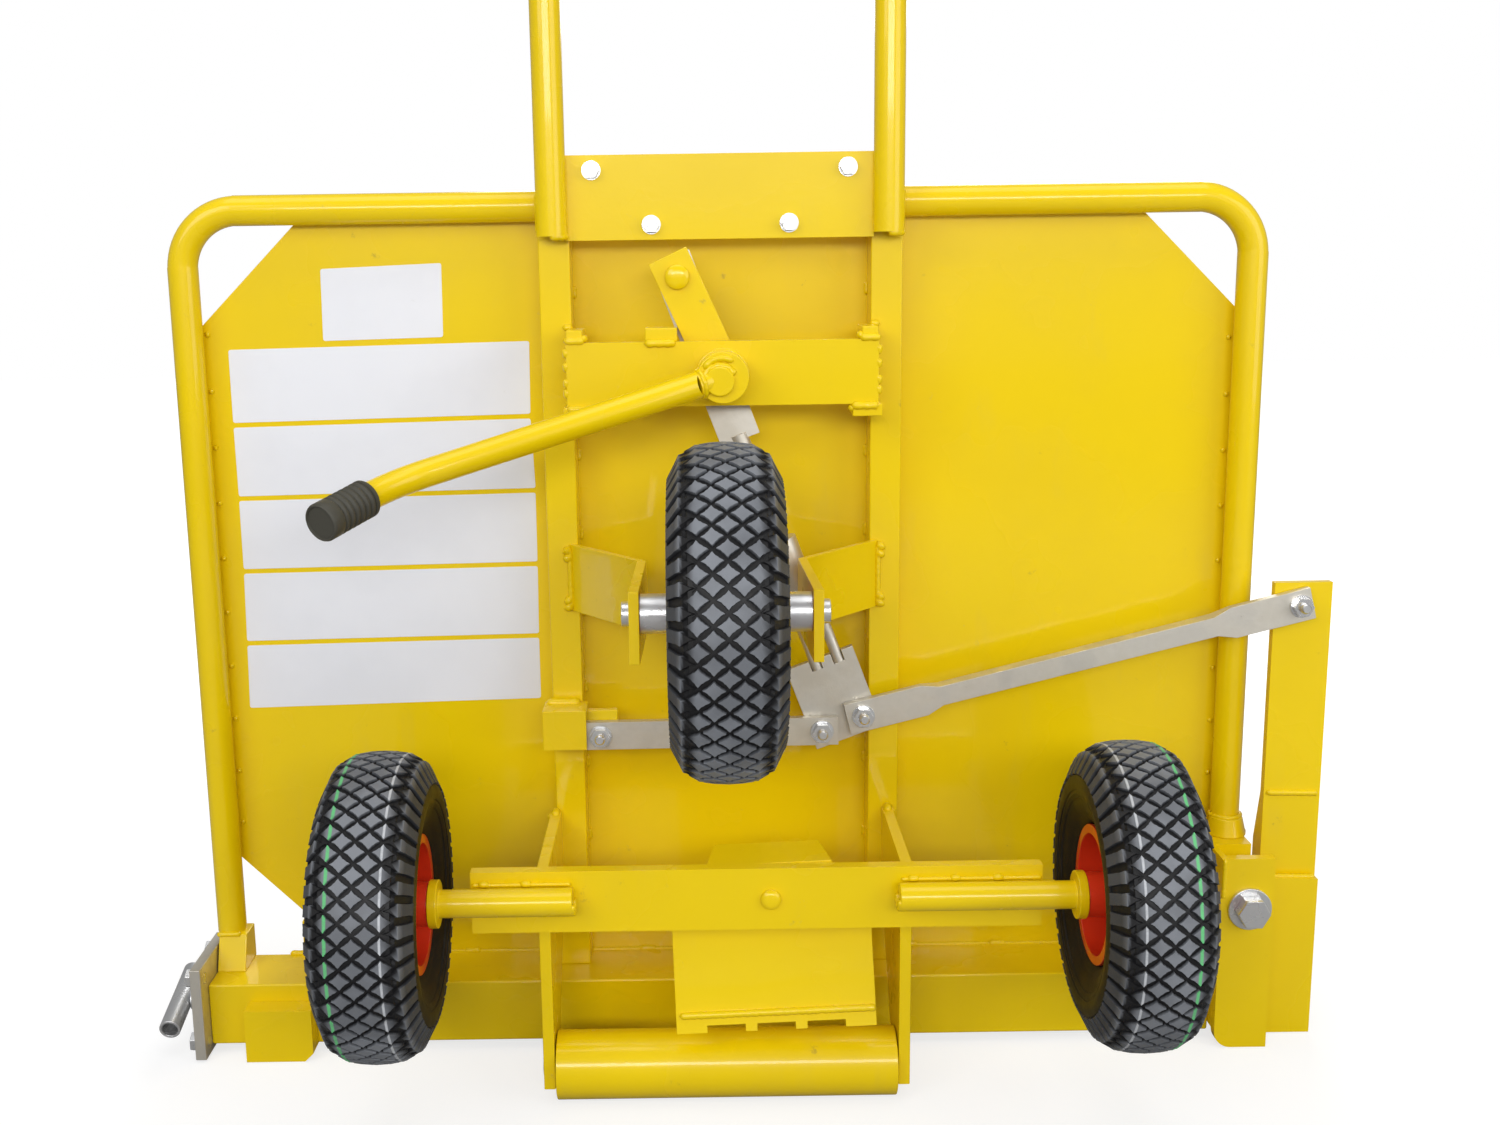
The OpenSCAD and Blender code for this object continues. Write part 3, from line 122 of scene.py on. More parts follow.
def feed(tree, socket, value):
    """Gives a socket a number, a colour or another node's output."""
    if isinstance(value, bpy.types.NodeSocket):
        tree.links.new(value, socket)
    elif isinstance(value, tuple):
        socket.default_value = (*value, 1.0)
    else:
        socket.default_value = value


def noise(tree, coords, scale, detail, roughness):
    """Noise on a surface's coordinates; scale is a number or a node's output."""
    node = tree.nodes.new("ShaderNodeTexNoise")
    node.inputs["Detail"].default_value = detail
    node.inputs["Roughness"].default_value = roughness
    tree.links.new(coords, node.inputs["Vector"])
    feed(tree, node.inputs["Scale"], scale)
    return node.outputs["Fac"]


def ramp(tree, value, low, high, out_low=0.0, out_high=1.0):
    node = tree.nodes.new("ShaderNodeMapRange")
    node.interpolation_type = "SMOOTHSTEP"
    tree.links.new(value, node.inputs["Value"])
    for label, number in (("From Min", low), ("From Max", high), ("To Min", out_low), ("To Max", out_high)):
        node.inputs[label].default_value = number
    return node.outputs["Result"]


def maths(tree, kind, a, b):
    node = tree.nodes.new("ShaderNodeMath")
    node.operation = kind
    feed(tree, node.inputs[0], a)
    feed(tree, node.inputs[1], b)
    return node.outputs[0]


def part_of(tree, mask, share):
    """A mask at a share of its strength; the share is a number or another mask."""
    return maths(tree, "MULTIPLY", mask, share)


def blend_colour(tree, mask, a, b):
    node = tree.nodes.new("ShaderNodeMix")
    node.data_type = "RGBA"
    for socket, value in ((node.inputs[0], mask), (node.inputs[6], a), (node.inputs[7], b)):
        feed(tree, socket, value)
    return node.outputs[2]


def make_shop_wear():
    """Broad mottle, small scuffs, dust streaks and fine skin of a surface, on the piece's own coordinates."""
    group, source, result = shader_group(
        "shop_wear", [("Mottle Scale", MOTTLE_SCALE), ("Scuff Scale", SCUFF_SCALE)],
        ["Mottle", "Scuff", "Dust", "Skin"])
    coords = group.nodes.new("ShaderNodeTexCoord").outputs["Object"]

    def scaled_noise(label, factor, detail, roughness):
        return noise(group, coords, part_of(group, source.outputs[label], factor), detail, roughness)

    mottle = ramp(group, scaled_noise("Mottle Scale", factor=1.0, detail=3.0, roughness=0.55), *MOTTLE_RANGE)
    specks = ramp(group, scaled_noise("Scuff Scale", factor=1.0, detail=6.0, roughness=0.7), *SPECK_RANGE)
    patches = ramp(group, scaled_noise("Mottle Scale", factor=1.9, detail=2.0, roughness=0.5), *PATCH_RANGE)
    stretch = group.nodes.new("ShaderNodeMapping")
    stretch.inputs["Scale"].default_value = STREAK_STRETCH
    group.links.new(coords, stretch.inputs["Vector"])
    streaks = noise(group, stretch.outputs["Vector"], scale=1.0, detail=4.0, roughness=0.6)
    peel = scaled_noise("Scuff Scale", factor=4.0, detail=2.0, roughness=0.5)
    grit = scaled_noise("Scuff Scale", factor=16.0, detail=1.0, roughness=0.5)
    group.links.new(mottle, result.inputs["Mottle"])
    group.links.new(part_of(group, specks, patches), result.inputs["Scuff"])
    group.links.new(part_of(group, ramp(group, streaks, *STREAK_RANGE), patches), result.inputs["Dust"])
    group.links.new(maths(group, "ADD", peel, part_of(group, grit, GRIT_SHARE)), result.inputs["Skin"])
    return group


shop_wear = make_shop_wear()


def finish_material(name, metallic=0.0, coat=0.0, specular=0.5, mottle=MOTTLE_SCALE, scuff=SCUFF_SCALE):
    """A new material, with its node tree, its Principled shader and the wear group at its own scales."""
    material = bpy.data.materials.new(name)
    material.use_nodes = True
    tree = material.node_tree
    shader = tree.nodes["Principled BSDF"]
    shader.inputs["Metallic"].default_value = metallic
    shader.inputs["Coat Weight"].default_value = coat
    shader.inputs["Coat Roughness"].default_value = COAT_ROUGHNESS
    shader.inputs["Specular IOR Level"].default_value = specular
    wear = tree.nodes.new("ShaderNodeGroup")
    wear.node_tree = shop_wear
    wear.inputs["Mottle Scale"].default_value = mottle
    wear.inputs["Scuff Scale"].default_value = scuff
    return material, tree, shader, wear


def put_bump(tree, shader, height, strength, distance):
    bump = tree.nodes.new("ShaderNodeBump")
    bump.inputs["Strength"].default_value = strength
    bump.inputs["Distance"].default_value = distance
    tree.links.new(height, bump.inputs["Height"])
    tree.links.new(bump.outputs["Normal"], shader.inputs["Normal"])


def mottled_roughness(tree, wear, low, spread):
    """A roughness that changes slowly over the surface."""
    return ramp(tree, wear.outputs["Mottle"], 0.0, 1.0, low, low + spread)


def paint_material(name, colour, deep, scuff, gloss):
    """Gloss paint: slow colour drift, few scuffs, dust in streaks, and the skin of sprayed enamel."""
    material, tree, shader, wear = finish_material(name, coat=PAINT_COAT, specular=PAINT_SPECULAR)
    drift = blend_colour(tree, part_of(tree, wear.outputs["Mottle"], PAINT_DRIFT), colour, deep)
    dusty = blend_colour(tree, part_of(tree, wear.outputs["Dust"], PAINT_DUST), drift, PAINT_DUST_COLOUR)
    worn = blend_colour(tree, part_of(tree, wear.outputs["Scuff"], PAINT_SCUFF), dusty, scuff)
    tree.links.new(worn, shader.inputs["Base Color"])
    scuffed = part_of(tree, wear.outputs["Scuff"], PAINT_SCUFF_DULLING)
    rough = maths(tree, "ADD", mottled_roughness(tree, wear, gloss, PAINT_GLOSS_SPREAD), scuffed)
    tree.links.new(rough, shader.inputs["Roughness"])
    put_bump(tree, shader, wear.outputs["Skin"], strength=0.12, distance=0.0006)
    return material


def zinc_material(name, colour, dull, rough):
    """Zinc-plated steel: cloudy patches, a fine skin and a few dark specks."""
    material, tree, shader, wear = finish_material(name, metallic=ZINC_METALLIC, mottle=30.0, scuff=120.0)
    cloudy = blend_colour(tree, wear.outputs["Mottle"], colour, dull)
    specked = blend_colour(tree, part_of(tree, wear.outputs["Scuff"], ZINC_SPECKS), cloudy, ZINC_SPECK_COLOUR)
    tree.links.new(specked, shader.inputs["Base Color"])
    tree.links.new(mottled_roughness(tree, wear, rough, ZINC_ROUGH_SPREAD), shader.inputs["Roughness"])
    put_bump(tree, shader, wear.outputs["Skin"], strength=0.18, distance=0.0004)
    return material


def rubber_material(name, colour, worn, rough, stripes=False):
    """Black rubber, paler where it meets the ground, with painted shade on a tyre's shoulder lugs; a tyre's
    paint stripes follow its across attribute.
    """
    material, tree, shader, wear = finish_material(name, specular=RUBBER_SPECULAR, mottle=16.0)
    top = tree.nodes.new("ShaderNodeAttribute")
    top.attribute_name = "tread_top"
    # the tread_top mask is the tread's real rubbing, turned down by painted shade on the shoulder lugs
    rubbed = part_of(tree, top.outputs["Fac"], ramp(tree, wear.outputs["Mottle"], 0.0, 1.0, LEAST_RUB, 1.0))
    colours = blend_colour(tree, rubbed, colour, worn)
    dust = part_of(tree, wear.outputs["Dust"], RUBBER_DUST)
    colours = blend_colour(tree, dust, colours, RUBBER_DUST_COLOUR)
    if stripes:
        across = tree.nodes.new("ShaderNodeAttribute")
        across.attribute_name = "across"
        for place, half, stripe in TYRE_STRIPES:
            off = maths(tree, "ABSOLUTE", maths(tree, "SUBTRACT", across.outputs["Fac"], place), 0.0)
            band = ramp(tree, off, half + STRIPE_FADE_OUT, half - STRIPE_FADE_IN)
            band = part_of(tree, band, ramp(tree, top.outputs["Fac"], *STRIPE_TOP_RANGE))
            patchy = ramp(tree, wear.outputs["Skin"], *STRIPE_SKIN_RANGE, STRIPE_LEAST, 1.0)
            band = part_of(tree, band, patchy)
            colours = blend_colour(tree, band, colours, stripe)
    tree.links.new(colours, shader.inputs["Base Color"])
    tree.links.new(mottled_roughness(tree, wear, rough, RUBBER_ROUGH_SPREAD), shader.inputs["Roughness"])
    put_bump(tree, shader, wear.outputs["Skin"], strength=0.35, distance=0.0005)
    return material


def vinyl_material(name):
    """Plain white label film, a little uneven and rubbed."""
    material, tree, shader, wear = finish_material(name, coat=FILM_COAT, mottle=12.0)
    drift = blend_colour(tree, wear.outputs["Mottle"], FILM_COLOUR, FILM_SHADE)
    worn = blend_colour(tree, part_of(tree, wear.outputs["Scuff"], FILM_SCUFF), drift, FILM_SCUFF_COLOUR)
    tree.links.new(worn, shader.inputs["Base Color"])
    tree.links.new(mottled_roughness(tree, wear, FILM_ROUGH, FILM_ROUGH_SPREAD), shader.inputs["Roughness"])
    put_bump(tree, shader, wear.outputs["Mottle"], strength=0.10, distance=0.0008)
    return material


yellow_paint = paint_material("yellow_paint", colour=(0.86, 0.615, 0.001), deep=(0.78, 0.545, 0.001),
                              scuff=(0.36, 0.24, 0.03), gloss=0.24)
red_paint = paint_material("red_paint", colour=(0.72, 0.045, 0.012), deep=(0.60, 0.030, 0.008),
                           scuff=(0.20, 0.05, 0.03), gloss=0.28)
zinc_steel = zinc_material("zinc_steel", colour=(0.70, 0.665, 0.59), dull=(0.60, 0.565, 0.49), rough=0.42)
bright_zinc = zinc_material("bright_zinc", colour=(0.74, 0.74, 0.74), dull=(0.62, 0.63, 0.64), rough=0.24)
tyre_rubber = rubber_material("tyre_rubber", colour=(0.008, 0.008, 0.009), worn=(0.20, 0.213, 0.237),
                              rough=0.46, stripes=True)
grip_rubber = rubber_material("grip_rubber", colour=(0.062, 0.059, 0.046), worn=(0.09, 0.086, 0.07),
                              rough=0.55)
label_film = vinyl_material("label_film")

SLOT_FINISH = {
    "yellow_paint": yellow_paint, "red_paint": red_paint, "zinc_steel": zinc_steel,
    "tyre_rubber": tyre_rubber, "grip_rubber": grip_rubber,
}
BRIGHT_NODES = ("handle_bolts", "link_pivot_bolt", "toggle_bolt", "right_link_bolts", "end_plate_bolts",
                "arm_pivot_bolt", "support_axle", "support_spacers", "screw_socket", "adjusting_screw")
slot_of_node = {n: o.data.materials[0].name.split(".")[0] for n, o in nodes.items()}


def dress(obj, material):
    obj.data.materials.clear()
    obj.data.materials.append(material)


def node_finish(node):
    if node in BRIGHT_NODES:
        return bright_zinc
    return SLOT_FINISH[slot_of_node[node]]


for cad_name, cad_node in nodes.items():
    dress(cad_node, node_finish(cad_name))

# Piece building

SHARP_ANGLE = 0.6
NODE_MERGE_DIST = 2e-6
FLAT_ANGLE = math.radians(0.6)
EDGE_ANGLE = math.radians(40)
EDGE_SEGMENTS = 2


def add_piece(bm, name, material, body, replaces=(), sharp_angle=SHARP_ANGLE):
    """Makes a finished piece of bm, smooth but for edges past sharp_angle, and lets it ride on body."""
    for face in bm.faces:
        face.smooth = True
    for edge in bm.edges:
        edge.smooth = not (len(edge.link_faces) == 2 and edge.calc_face_angle(0.0) > sharp_angle)
    mesh = bpy.data.meshes.new(name)
    bm.to_mesh(mesh)
    bm.free()
    obj = bpy.data.objects.new(name, mesh)
    bpy.context.scene.collection.objects.link(obj)
    dress(obj, material)
    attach(obj, body)
    if replaces:
        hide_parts(*replaces)
    return obj


def soften(node, width):
    """A copy of a CAD node with its sharp edges rounded, shown in the node's place."""
    bm = bmesh.new()
    bm.from_mesh(nodes[node].data)
    bmesh.ops.remove_doubles(bm, verts=bm.verts, dist=NODE_MERGE_DIST)
    bmesh.ops.dissolve_limit(bm, angle_limit=FLAT_ANGLE, verts=bm.verts, edges=bm.edges)
    obj = add_piece(bm, node + "_softened", node_finish(node), body_of_node[node],
                    (node,), EDGE_ANGLE)
    bevel = obj.modifiers.new("rounded_edges", "BEVEL")
    bevel.width = width * MM
    bevel.segments = EDGE_SEGMENTS
    bevel.limit_method = "ANGLE"
    bevel.angle_limit = EDGE_ANGLE
    bevel.harden_normals = True
    bevel.use_clamp_overlap = True


def spin_round(bm, points, axis, steps):
    """Adds the shell that a line of points in mm makes when it turns about an axis through the origin."""
    verts = [bm.verts.new([c * MM for c in point]) for point in points]
    edges = [bm.edges.new(pair) for pair in zip(verts, verts[1:])]
    bmesh.ops.spin(bm, geom=verts + edges, cent=(0, 0, 0), axis=axis, dvec=(0, 0, 0), angle=FULL_TURN,
                   steps=steps, use_merge=True, use_normal_flip=False, use_duplicate=False)


def clean(bm):
    bmesh.ops.remove_doubles(bm, verts=bm.verts, dist=MERGE_DIST)
    bmesh.ops.recalc_face_normals(bm, faces=bm.faces)


def join(bm, part):
    """Adds a scratch bmesh to bm and frees it."""
    mesh = bpy.data.meshes.new("scratch")
    part.to_mesh(mesh)
    part.free()
    bm.from_mesh(mesh)
    bpy.data.meshes.remove(mesh)


def facing(direction, at):
    """Matrix that puts a piece made along +Z at a place, pointing in a direction."""
    return Matrix.Translation(at) @ Vector(direction).to_track_quat("Z", "Y").to_matrix().to_4x4()


def add_turned(bm, profile, place, direction, steps):
    """Adds the solid that a profile of (radius, height) in mm turns to, at a place in the row frame."""
    part = bmesh.new()
    spin_round(part, [(r, 0, h) for r, h in profile], (0, 0, 1), steps)
    clean(part)
    bmesh.ops.transform(part, matrix=facing(direction, place), verts=part.verts)
    join(bm, part)


# Tyres, made about the X axis

TYRE_R = 130.0
TREAD_HALF = 32.0
TREAD_DROP = 5.0
SHOULDER_SLOPE = 21.0 / 11.0
WIDE_R = 92.3
TREAD_ROUND = 44
TREAD_LINES = (-42.0, -31.5, -10.5, 10.5, 31.5, 42.0)
LINE_SLACK = 0.1
GROOVE_DEPTH = 3.2
GROOVE_HALF = 1.4
BLOCK_TAPER = 0.3
LUG_BASE = (28.0, 36.0)
LUG_SHARES = ((28.0, 0.76), (36.0, 0.86))
NOTCH_CUTS = 5
NOTCHED_CUTS = (1, 3)
NOTCH_DEPTH = 0.5
RIM_DIP = 0.88

# Half of the carcass: its crown under the grooves, then places (across, radius) down the side and up inside
CROWN_HALF, CROWN_STEP, CROWN_SINK = 40, 4, 4.6
SIDE_WALL = ((42.6, 100.5), (43.7, 95.0), (43.7, 91.5), (43.1, 88.2), (42.1, 87.4), (42.1, 85.6),
             (42.3, 84.8), (41.0, 81.6), (39.8, 80.8), (39.3, 79.0), (36.5, 70.0), (35.2, 68.6), (34.6, 66.6),
             (33.0, 63.5), (29.5, 60.0), (25.5, 59.2))
INNER_WALL = ((25.5, 64.0), (33.0, 76.0), (36.0, 94.0), (30.0, 112.0), (15.0, 119.0), (0.0, 120.0))
CARCASS_ROUND = 4 * TREAD_ROUND

# How far below the tread's top the rubber is rubbed pale, and how the paleness fades over the shoulder into a
# painted shade on the shoulder lugs
RUB_DEPTH, RUB_FADE = 2.4, 1.6
SHOULDER_FADE = 4.0
# painted shade: the shoulder lugs keep only this share of the tread top's paleness, so they look shadowed
SHOULDER_SHADE_SHARE = 0.3
RUB_PAST_LUGS = 2.0
TYRE_SHARP_ANGLE = 0.5


def section_r(across, sink):
    """Radius of the tyre's section at a distance across, sunk below the tread's top, in mm."""
    tread = TYRE_R - sink - TREAD_DROP * (across / TREAD_HALF) ** 2
    slope = TYRE_R - TREAD_DROP - (abs(across) - TREAD_HALF) * SHOULDER_SLOPE
    return min(tread, slope - sink * math.hypot(1, SHOULDER_SLOPE))


def set_radius(vert, across, radius):
    """Moves a vertex to a place across and a radius, in mm."""
    r = math.hypot(vert.co.y, vert.co.z)
    vert.co = Vector((across * MM, vert.co.y / r * radius * MM, vert.co.z / r * radius * MM))


def spin_section(bm, points, steps):
    """Adds the ring of a line of places (across, radius)."""
    spin_round(bm, [(x, 0, r) for x, r in points], (1, 0, 0), steps)
    bmesh.ops.remove_doubles(bm, verts=bm.verts, dist=MERGE_DIST)


def outward(bm):
    """Turns an open ring's faces so that they point away from the axle."""
    bmesh.ops.recalc_face_normals(bm, faces=bm.faces)
    sample = max(bm.faces, key=lambda f: math.hypot(f.calc_center_median().y, f.calc_center_median().z))
    centre = sample.calc_center_median()
    if sample.normal.dot(Vector((0, centre.y, centre.z))) < 0:
        bmesh.ops.reverse_faces(bm, faces=bm.faces)


def notch_sides(blocks):
    """Cuts two small notches into each side of each block."""
    for block in blocks:
        middle = block.calc_center_median()
        for edge in list(block.edges):
            vert = edge.verts[0]
            for i in range(NOTCH_CUTS):
                vert = bmesh.utils.edge_split(edge, vert, 1 / (NOTCH_CUTS + 1 - i))[1]
                if i in NOTCHED_CUTS:
                    vert.co += (middle - vert.co).normalized() * NOTCH_DEPTH * MM


def is_lug(block):
    """Whether a block is one of the outermost, which run down over the shoulder."""
    return max(abs(v.co.x) for v in block.verts) > LUG_BASE[1] * MM


def narrow_lugs(blocks):
    """Draws in the sides of the outermost blocks, so that the gaps between them are wide."""
    for block in filter(is_lug, blocks):
        middle = block.calc_center_median()
        mid_angle = math.atan2(middle.z, middle.y)
        for vert in block.verts:
            share = 1.0
            for beyond, kept in LUG_SHARES:
                if abs(vert.co.x) > beyond * MM:
                    share = kept
            off = math.remainder(math.atan2(vert.co.z, vert.co.y) - mid_angle, FULL_TURN)
            r = math.hypot(vert.co.y, vert.co.z)
            angle = mid_angle + off * share
            vert.co = Vector((vert.co.x, r * math.cos(angle), r * math.sin(angle)))


def fold_lugs(blocks):
    """Splits the outermost blocks where they bend over the tread's edge."""
    for block in filter(is_lug, blocks):
        middle = block.calc_center_median()
        along = Vector((1, 0, 0)).cross(middle)
        base = [v for v in block.verts if LUG_BASE[0] * MM < abs(v.co.x) < LUG_BASE[1] * MM]
        base.sort(key=lambda v: along.dot(v.co))
        bmesh.utils.face_split(block, base[0], base[-1])


def dip_rim(bm):
    """Lets the tread's rim run down into the carcass."""
    rim = [e for e in bm.edges if len(e.link_faces) == 1]
    for vert in bmesh.ops.extrude_edge_only(bm, edges=rim)["geom"]:
        if isinstance(vert, bmesh.types.BMVert):
            r = math.hypot(vert.co.y, vert.co.z) / MM
            set_radius(vert, vert.co.x / MM * RIM_DIP, WIDE_R + (r - WIDE_R) * RIM_DIP)


def tread_skin():
    """Staggered diamond blocks: a ring's middle quads are poked, and the ring's own edges there dissolved."""
    bm = bmesh.new()
    spin_section(bm, [(x, section_r(x, GROOVE_DEPTH)) for x in TREAD_LINES], TREAD_ROUND)
    outward(bm)
    rim = (TREAD_LINES[-2] + LINE_SLACK) * MM
    first_edges = [e for e in bm.edges if len(e.link_faces) == 2 and max(abs(v.co.x) for v in e.verts) < rim]
    bmesh.ops.poke(bm, faces=[f for f in bm.faces if max(abs(v.co.x) for v in f.verts) < rim])
    for vert in bm.verts:
        set_radius(vert, vert.co.x / MM, section_r(vert.co.x / MM, GROOVE_DEPTH))
    bmesh.ops.dissolve_edges(bm, edges=first_edges, use_verts=False, use_face_split=False)
    blocks = list(bm.faces)
    bmesh.ops.inset_individual(bm, faces=blocks, thickness=GROOVE_HALF * MM, depth=0, use_even_offset=True)
    narrow_lugs(blocks)
    notch_sides(blocks)
    bmesh.ops.inset_individual(bm, faces=blocks, thickness=BLOCK_TAPER * MM, depth=GROOVE_DEPTH * MM,
                               use_even_offset=False)
    fold_lugs(blocks)
    dip_rim(bm)
    return bm


def carcass():
    """Crown under the grooves, side walls with thin ribs, beads on the rim and the inner wall."""
    crown = [(x, section_r(x, CROWN_SINK)) for x in range(-CROWN_HALF, CROWN_HALF + 1, CROWN_STEP)]
    half = SIDE_WALL + INNER_WALL
    profile = crown + list(half) + [(-x, r) for x, r in reversed(half[:-1])]
    bm = bmesh.new()
    spin_section(bm, profile + [profile[0]], CARCASS_ROUND)
    clean(bm)
    return bm


def tyre_template():
    bm = bmesh.new()
    for part in (tread_skin(), carcass()):
        join(bm, part)
    mesh = bpy.data.meshes.new("tyre_template")
    bm.to_mesh(mesh)
    bm.free()
    return mesh


whole_tyre = tyre_template()


def make_tyre(node, outer_side, stripes):
    low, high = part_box(node)
    bm = bmesh.new()
    bm.from_mesh(whole_tyre)

    # What the rubber's finish reads: how near a point is to the tread's top, with painted shade over the
    # shoulder, and how far across the tyre
    top = bm.verts.layers.float.new("tread_top")
    across = bm.verts.layers.float.new("across")
    for vert in bm.verts:
        x = vert.co.x / MM
        sunk = section_r(x, 0) - math.hypot(vert.co.y, vert.co.z) / MM
        # painted shade: over the shoulder the tread top's paleness drops to a share, standing in for shadow
        shoulder_unshaded = min(1.0, max(SHOULDER_SHADE_SHARE, (TREAD_LINES[-1] - SHOULDER_FADE - abs(x)) / SHOULDER_FADE))
        rub = min(1.0, max(0.0, (RUB_DEPTH - sunk) / RUB_FADE))
        vert[top] = shoulder_unshaded * rub if abs(x) < TREAD_LINES[-1] + RUB_PAST_LUGS else 0.0
        vert[across] = vert.co.x * outer_side if stripes else 1.0
    bmesh.ops.translate(bm, verts=bm.verts, vec=(low + high) / 2)
    add_piece(bm, node + "_treaded", tyre_rubber, body_of_node[node], (node,),
              TYRE_SHARP_ANGLE)


make_tyre("left_tyre", -1, True)
make_tyre("right_tyre", 1, True)
make_tyre("support_tyre", 1, False)
bpy.data.meshes.remove(whole_tyre)

# Rounded edges on plates, bars and fittings: the width in mm

SOFTENED = {
    "back_sheet": 0.8, "tube_end_fittings": 1.0, "left_rail": 2.2, "right_rail": 2.2, "rail_tie_plate": 0.9,
    "handle_cross_plate": 1.0, "handle_bolts": 0.7, "lever_cross_plate": 0.9, "lever_plate_tabs": 1.0,
    "crank_stop": 1.2, "left_wheel_bracket": 0.8, "right_wheel_bracket": 0.8, "support_axle": 0.8,
    "support_spacers": 0.5, "link_bracket": 1.0, "link_pivot_bolt": 0.6, "axle_beam": 0.9, "axle_stubs": 0.9,
    "axle_retainers": 0.6, "left_side_plate": 0.8, "right_side_plate": 0.8, "roller_axle": 0.8,
    "bottom_beam": 2.2, "end_plate": 0.8, "end_plate_bolts": 0.6, "arm_pivot_bracket": 1.2,
    "arm_pivot_bolt": 0.8, "pedal_pin": 0.6, "left_rim": 0.8, "right_rim": 0.8, "support_rim": 0.8,
    "ground_roller": 0.8, "lever_shaft": 0.9, "crank_arm": 0.8, "crank_pin": 1.0, "pull_bar": 0.7,
    "spring_sleeve": 0.7, "disc_springs": 0.4, "left_link": 0.8, "toggle_plate": 0.8, "toggle_bolt": 0.6,
    "pull_rods": 0.6, "right_link": 0.8, "right_link_bolts": 0.6, "clamp_arm": 1.6, "right_jaw": 1.0,
    "left_jaw": 1.0, "adjusting_screw": 0.6, "screw_socket": 0.7, "tilt_pedal": 0.9,
}
for softened_node, edge_width in SOFTENED.items():
    soften(softened_node, edge_width)

# Rubber grips

GRIP_ROUND = 48
RIB_DEPTH_SHARE = 0.32
COLLAR_LEN = 4.2
CAP_ROOM = 12.0

# How far a rib's outline lies below the top, at most down to the groove, at shares of the pitch
RIB_OUTLINE = ((math.inf, 0.06), (0.5, 0.24), (0.0, 0.4), (0.0, 0.62), (0.5, 0.78), (math.inf, 0.94))
LEVER_GRIP = {"core_r": 10.1, "outer_r": 15.5, "rib_pitch": 6.0}
HAND_GRIP = {"core_r": 13.55, "outer_r": 17.0, "rib_pitch": 8.6}
HANDLE_X = 147.4
HANDLE_TOP = (150, 1000)
LEVER_PIVOT = (0, 100, 636)


def long_axis(points):
    """Middle, direction and half length of a long piece."""
    cloud = np.array(points)
    middle = cloud.mean(axis=0)
    direction = np.linalg.svd(cloud - middle, full_matrices=False)[2][0]
    along = (cloud - middle) @ direction
    middle = middle + direction * (along.max() + along.min()) / 2
    return Vector(middle), Vector(direction), (along.max() - along.min()) / 2


def add_grip(bm, points, inner_place, core_r, outer_r, rib_pitch):
    """A ringed sleeve with a closed end, over the CAD grip's points; inner_place is near its open end."""
    middle, direction, half = long_axis(points)
    if (middle + direction * half - inner_place).length < (middle - direction * half - inner_place).length:
        direction = -direction
    length = 2 * half / MM
    groove_r = outer_r - RIB_DEPTH_SHARE * rib_pitch
    profile = [(core_r, 2.0), (core_r, 0.6), (core_r + 0.6, 0.0), (outer_r - 1.2, 0.0), (outer_r, 1.2),
               (outer_r, 3.4), (groove_r, COLLAR_LEN)]
    ribs = int((length - CAP_ROOM) / rib_pitch)
    for i in range(ribs):
        foot = COLLAR_LEN + i * rib_pitch
        for below, share in RIB_OUTLINE:
            profile.append((max(groove_r, outer_r - below), foot + share * rib_pitch))
    cap = COLLAR_LEN + ribs * rib_pitch
    profile += [(groove_r, cap), (outer_r - 0.4, cap + 0.8), (outer_r, cap + 1.6), (outer_r, length - 2.0),
                (outer_r - 0.6, length - 0.6), (outer_r - 1.4, length), (outer_r - 2.2, length - 0.3),
                (outer_r - 2.8, length - 1.5), (0.0, length - 1.2)]
    add_turned(bm, profile, middle - direction * half, direction, GRIP_ROUND)


lever_points = [v.co.copy() for v in nodes["lever_grip"].data.vertices]
lever_sleeve = bmesh.new()
add_grip(lever_sleeve, lever_points, spot(*LEVER_PIVOT), **LEVER_GRIP)
add_piece(lever_sleeve, "lever_grip_ribbed", grip_rubber, "lever", ("lever_grip",))
hand_sleeves = bmesh.new()
for side in (-1, 1):
    hand_points = [v.co.copy() for v in nodes["handle_grips"].data.vertices
                   if (v.co.x - rails_mid_x) * side > 0]
    add_grip(hand_sleeves, hand_points, spot(side * HANDLE_X, *HANDLE_TOP), **HAND_GRIP)
add_piece(hand_sleeves, "handle_grips_ribbed", grip_rubber, "frame", ("handle_grips",))

# Weld beads: rippled runs that bulge from the seams

weld_dice = random.Random(41)
BEAD_SIDES = 7
BEAD_PITCH_SHARE = 0.6
BEAD_TIP_SHARE = 0.6
RIPPLE_LOW, RIPPLE_SWING, RIPPLE_STEP = 0.88, 0.2, 0.9
RIPPLE_CHANCE = (0.94, 1.06)
LEAST_RING_STEPS = 6
WELD_SHARP_ANGLE = 1.2
FULL_SWEEP = 360.0


